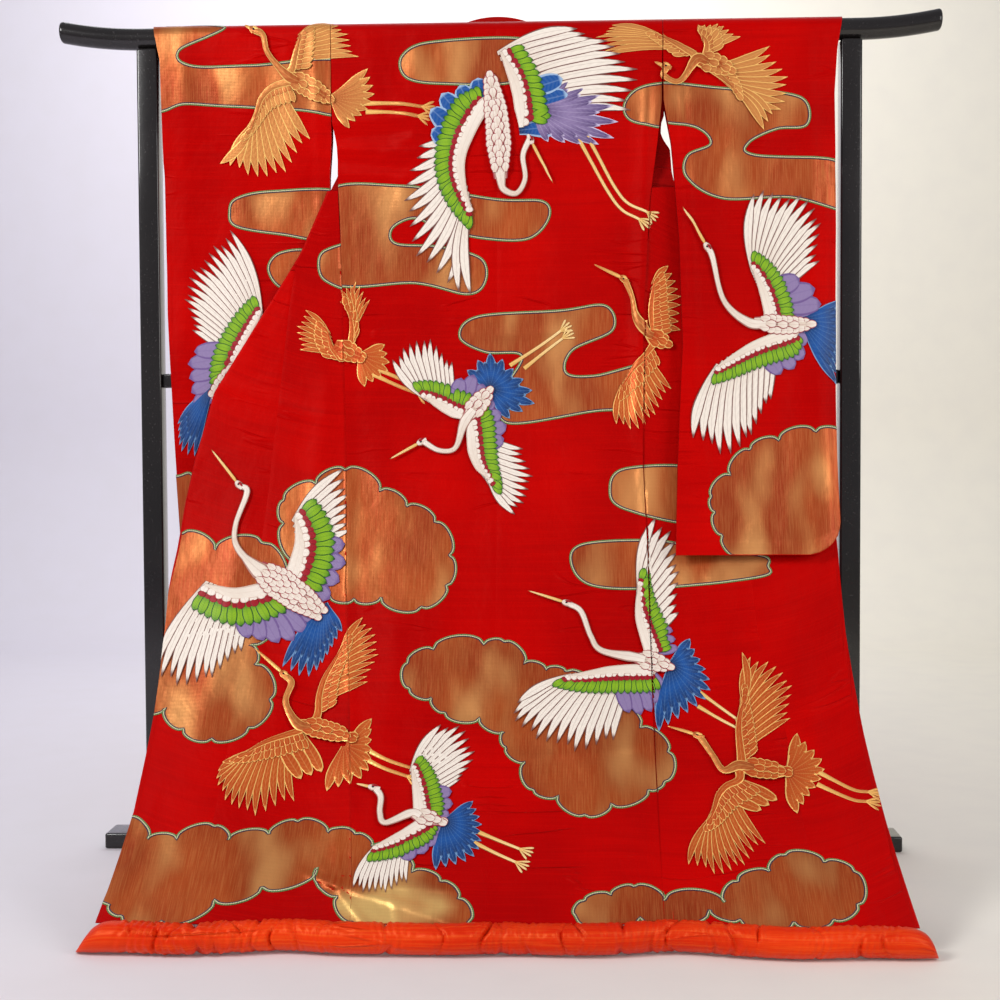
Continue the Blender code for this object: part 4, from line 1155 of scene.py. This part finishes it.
COLOURED = dict(
    slim=0.52, band=1.0, long=[CREAM, WHITE, WHITE], long_line=BLUSH, inner=[SEA, SKY, SKY, SKY],
    inner_line=srgb(150, 176, 206),
    coverts=[(12, 60, 7.8, [DEEP, MOSS, LEAF, LEAF, MOSS], srgb(22, 74, 26), 0.0030),
             (14, 31, 6.6, [CRIMSON, CRIMSON], srgb(112, 4, 18), 0.0034),
             (5, 22, 7.4, [CREAM, WHITE, WHITE], srgb(176, 140, 130), 0.0038)],
    edge=[WHITE, CREAM], edge_line=srgb(200, 176, 160), tail=[SEA, SKY, SEA], tail_line=srgb(104, 144, 186),
    body=[CREAM, CREAM], body_line=ROSE, scale=[CREAM, WHITE], scale_line=ROSE, neck=[WHITE, CREAM, WHITE],
    neck_line=srgb(160, 112, 100), leg=[HONEY, srgb(240, 210, 150)], leg_line=srgb(150, 96, 40),
    crown=[CRIMSON, CRIMSON], crown_line=srgb(110, 8, 20))
LILAC_INNER = dict(COLOURED, inner=[VIOLET, LILAC, LILAC, LILAC], inner_line=srgb(104, 80, 134))
LILAC_TAIL = dict(COLOURED, tail=[VIOLET, LILAC, VIOLET], tail_line=srgb(196, 184, 214))
GOLDEN = dict(
    {part + "_line": GILT for part in "long inner edge tail body scale neck leg crown".split()},
    slim=0.46, band=0.6, long=[COPPER, AMBER, AMBER], inner=[COPPER, AMBER], edge=[AMBER, COPPER],
    coverts=[(12, 48, 6.6, [COPPER, AMBER, AMBER], GILT, 0.0026),
             (6, 26, 5.6, [AMBER, COPPER], GILT, 0.0031)],
    tail=[COPPER, AMBER], body=[COPPER, COPPER], scale=[COPPER, AMBER], neck=[AMBER, COPPER],
    leg=[GILT, AMBER], crown=[GILT, GILT])
FLAME, EMBER = srgb(186, 62, 16), srgb(200, 92, 34)
BURNT = dict(
    GOLDEN, slim=0.42, long=[FLAME, EMBER, FLAME], inner=[FLAME, EMBER], tail=[FLAME, EMBER],
    body=[FLAME, FLAME],
    coverts=[(12, 50, 6.6, [FLAME, EMBER], GILT, 0.0026), (4, 30, 6.0, [EMBER, FLAME], GILT, 0.0031)],
    scale=[FLAME, EMBER], edge=[EMBER, FLAME])

# Each bird, mm across and down: neck from the beak's tip through the head to the shoulder; body; wings as
# (lead, tips, long feathers, inner tips, inner feathers); tail as (root, tips, feathers); legs.
CRANES = [
    ("body", LILAC_TAIL, dict(
        neck=[(107, 323), (63, 238), (50, 270), (54, 313), (38, 341), (14, 334), (8, 313)],
        body=[(8, 313), (1, 201), (-12, 118)], half=21,
        wings=[([(43, 222), (32, 140), (3, 77)], [(255, 186), (272, 124), (236, 71), (157, 32)], 8,
                [(119, 214), (136, 165), (126, 126)], 4),
               ([(-26, 186), (-64, 276), (-51, 361)], [(-148, 250), (-177, 332), (-151, 465), (-50, 544)], 9,
                [(-35, 122), (-117, 160), (-123, 217)], 5)],
        tail=((70, 180), [(140, 128), (222, 178), (214, 246), (98, 244)], 7),
        legs=[[(146, 218), (171, 267), (226, 362), (271, 393)],
              [(160, 210), (187, 262), (236, 349), (285, 380)]])),
    ("body", LILAC_INNER, dict(
        neck=[(-202, 850), (-140, 815), (-109, 833), (-79, 829), (-65, 788), (-57, 771)],
        body=[(-57, 771), (-36, 744), (-14, 717)], half=17,
        wings=[([(-65, 775), (-91, 761), (-133, 734)], [(-86, 661), (-141, 611), (-202, 653)], 7,
                [(-25, 704), (-52, 684), (-88, 709)], 4),
               ([(-57, 775), (-47, 850), (-17, 885)], [(49, 830), (68, 895), (36, 960)], 7,
                [(-6, 735), (17, 779), (13, 810)], 4)],
        tail=((-14, 713), [(-57, 677), (-6, 646), (73, 731), (24, 771)], 7),
        legs=[[(24, 669), (81, 632), (121, 603)], [(51, 675), (91, 643), (125, 617)]])),
    ("body", LILAC_INNER, dict(
        neck=[(59, 1109), (133, 1134), (155, 1150), (171, 1198), (190, 1228), (250, 1243)],
        body=[(250, 1243), (280, 1251), (312, 1263)], half=17,
        wings=[([(274, 1235), (256, 1161), (261, 1104)], [(332, 1151), (333, 1017), (296, 959)], 7,
                [(328, 1221), (320, 1189)], 3),
               ([(273, 1261), (205, 1262), (138, 1275)], [(207, 1406), (140, 1428), (45, 1386), (36, 1336)],
                9, [(299, 1316), (270, 1356), (236, 1353)], 5)],
        tail=((312, 1255), [(350, 1203), (379, 1309), (287, 1391)], 8),
        legs=[[(362, 1310), (391, 1335), (420, 1360)], [(357, 1338), (388, 1359), (419, 1378)]])),
    ("body", LILAC_INNER, dict(
        neck=[(-227, 1497), (-193, 1504), (-183, 1522), (-182, 1554), (-171, 1574), (-129, 1554)],
        body=[(-129, 1554), (-102, 1564), (-77, 1572)], half=14,
        wings=[([(-121, 1552), (-127, 1514), (-136, 1470)],
                [(-52, 1484), (-29, 1440), (-44, 1386), (-88, 1371)], 7,
                [(-66, 1558), (-62, 1532), (-65, 1510)], 3),
               ([(-110, 1566), (-144, 1592), (-182, 1614)], [(-128, 1690), (-169, 1712), (-213, 1702)], 7,
                [(-77, 1591), (-89, 1621), (-126, 1647)], 4)],
        tail=((-75, 1566), [(-29, 1528), (-12, 1580), (-23, 1639), (-83, 1664)], 8),
        legs=[[(-17, 1590), (18, 1608), (51, 1624)], [(-24, 1610), (12, 1632), (45, 1650)]])),
    ("front_l", LILAC_INNER, dict(
        neck=[(-540, 829), (-482, 901), (-468, 913), (-485, 977), (-480, 1020), (-443, 1062)],
        body=[(-440, 1062), (-378, 1108), (-318, 1154)], half=27,
        wings=[([(-380, 1066), (-371, 1015), (-380, 970)], [(-269, 986), (-275, 927), (-287, 865)], 5,
                [(-304, 1124), (-279, 1065), (-281, 1015)], 4),
               ([(-428, 1098), (-477, 1105), (-530, 1088)], [(-455, 1227), (-526, 1297), (-613, 1284)], 8,
                [(-323, 1168), (-370, 1210), (-444, 1201)], 6)],
        tail=((-313, 1128), [(-378, 1258), (-327, 1277), (-277, 1188)], 7), legs=[])),
    ("sleeve_l", LILAC_INNER, dict(
        neck=[], body=[(-487, 663), (-516, 692), (-545, 721)], half=19,
        wings=[([(-506, 676), (-476, 624), (-453, 573)], [(-587, 595), (-599, 498), (-514, 400)], 10,
                [(-585, 744), (-595, 662), (-583, 637)], 5)],
        tail=((-545, 701), [(-616, 777), (-611, 829), (-584, 841)], 5), legs=[])),
    ("sleeve_r", LILAC_INNER, dict(
        neck=[(351, 373), (397, 452), (405, 469), (425, 550), (469, 592)],
        body=[(481, 592), (534, 598), (588, 597)], half=16,
        wings=[([(505, 576), (496, 540), (481, 498)], [(604, 477), (597, 366), (484, 340)], 9,
                [(590, 589), (608, 544), (567, 510)], 4),
               ([(549, 606), (474, 634), (414, 671)], [(510, 738), (442, 843), (364, 814)], 8,
                [(577, 635), (567, 672), (529, 691)], 4)],
        tail=((568, 587), [(652, 550), (660, 626), (636, 711)], 7), legs=[]))]
GOLD_CRANES = [
    (("sleeve_l", "body"), dict(
        neck=[(-479, 20), (-458, 29), (-443, 38), (-434, 71), (-398, 113)],
        body=[(-398, 113), (-356, 136), (-316, 159)], half=17,
        wings=[([(-398, 120), (-444, 140), (-466, 210)], [(-357, 232), (-425, 306), (-532, 278)], 8, [], 0),
               ([(-394, 101), (-384, 64), (-376, 39)], [(-261, 79), (-288, 27), (-318, 8)], 6, [], 0)],
        tail=((-316, 155), [(-244, 102), (-233, 160), (-280, 213)], 6),
        legs=[[(-253, 167), (-193, 168), (-140, 175)], [(-249, 183), (-197, 185), (-148, 193)]])),
    (("sleeve_r", "body"), dict(
        neck=[(299, 98), (323, 108), (316, 124), (346, 136), (377, 95)],
        body=[(377, 95), (411, 103), (443, 118)], half=17,
        wings=[([(377, 84), (346, 65), (316, 50)], [(196, 85), (187, 52), (219, 28)], 6, [], 0),
               ([(390, 88), (394, 70), (390, 55)], [(461, 52), (424, 29), (381, 29)], 5, [], 0),
               ([(385, 105), (415, 125), (443, 146)], [(515, 71), (554, 153), (504, 231)], 8, [], 0)],
        tail=None, legs=[])),
    (("front_l", "back"), dict(
        neck=[], body=[(-309, 627), (-284, 640), (-258, 652)], half=17,
        wings=[([(-281, 637), (-277, 598), (-281, 569)], [(-243, 541), (-268, 506), (-298, 521)], 5, [], 0),
               ([(-290, 656), (-309, 636), (-319, 607)], [(-376, 636), (-383, 597), (-367, 559)], 5, [], 0)],
        tail=((-262, 646), [(-214, 627), (-206, 676), (-251, 708)], 5),
        legs=[[(-233, 672), (-189, 691), (-147, 711)], [(-238, 683), (-192, 705), (-150, 722)]])),
    (("body",), dict(
        neck=[(184, 478), (243, 507), (258, 541), (265, 578), (282, 608)],
        body=[(282, 608), (302, 620), (323, 631)], half=15,
        wings=[([(289, 612), (286, 564), (294, 517)], [(346, 603), (346, 527), (324, 481)], 6, [], 0),
               ([(289, 631), (260, 669), (236, 707)], [(328, 716), (276, 790), (224, 786)], 7, [], 0)],
        tail=None, legs=[])),
    (("body",), dict(
        neck=[(-431, 1223), (-371, 1278), (-359, 1294), (-365, 1333), (-340, 1378)],
        body=[(-340, 1378), (-292, 1390), (-241, 1403)], half=17,
        wings=[([(-311, 1360), (-309, 1299), (-275, 1224)], [(-223, 1288), (-206, 1213), (-239, 1158)], 7, [],
                0),
               ([(-339, 1386), (-391, 1407), (-417, 1432)],
                [(-330, 1532), (-401, 1559), (-461, 1504), (-462, 1452)], 9,
                [(-289, 1473), (-323, 1488)], 3)],
        tail=((-254, 1415), [(-211, 1362), (-209, 1470), (-276, 1511)], 7),
        legs=[[(-208, 1428), (-170, 1448), (-133, 1462)], [(-210, 1446), (-176, 1464), (-141, 1478)]])),
    (("body",), dict(
        neck=[(302, 1383), (357, 1401), (376, 1438), (392, 1467), (417, 1456)],
        body=[(417, 1456), (457, 1463), (496, 1468)], half=17,
        wings=[([(418, 1452), (420, 1374), (438, 1326)], [(512, 1359), (517, 1272), (439, 1227)], 8, [], 0),
               ([(411, 1480), (381, 1505), (367, 1560)], [(446, 1607), (385, 1672), (321, 1660)], 8,
                [(474, 1522), (446, 1542)], 3)],
        tail=((496, 1468), [(521, 1389), (560, 1457), (504, 1548)], 7),
        legs=[[(548, 1465), (600, 1500), (628, 1506)], [(544, 1490), (596, 1520), (622, 1525)]]))]
bright, golden = Motifs(), Motifs()
for on, tones, bird in CRANES:
    crane(bright, on, bird, tones)
for cloths, bird in GOLD_CRANES:
    for on in cloths:
        crane(golden, on, bird, GOLDEN if cloths[0].startswith("sleeve") else BURNT)
bright.piece("silk_cranes", silk)
golden.piece("gold_cranes", gilt)
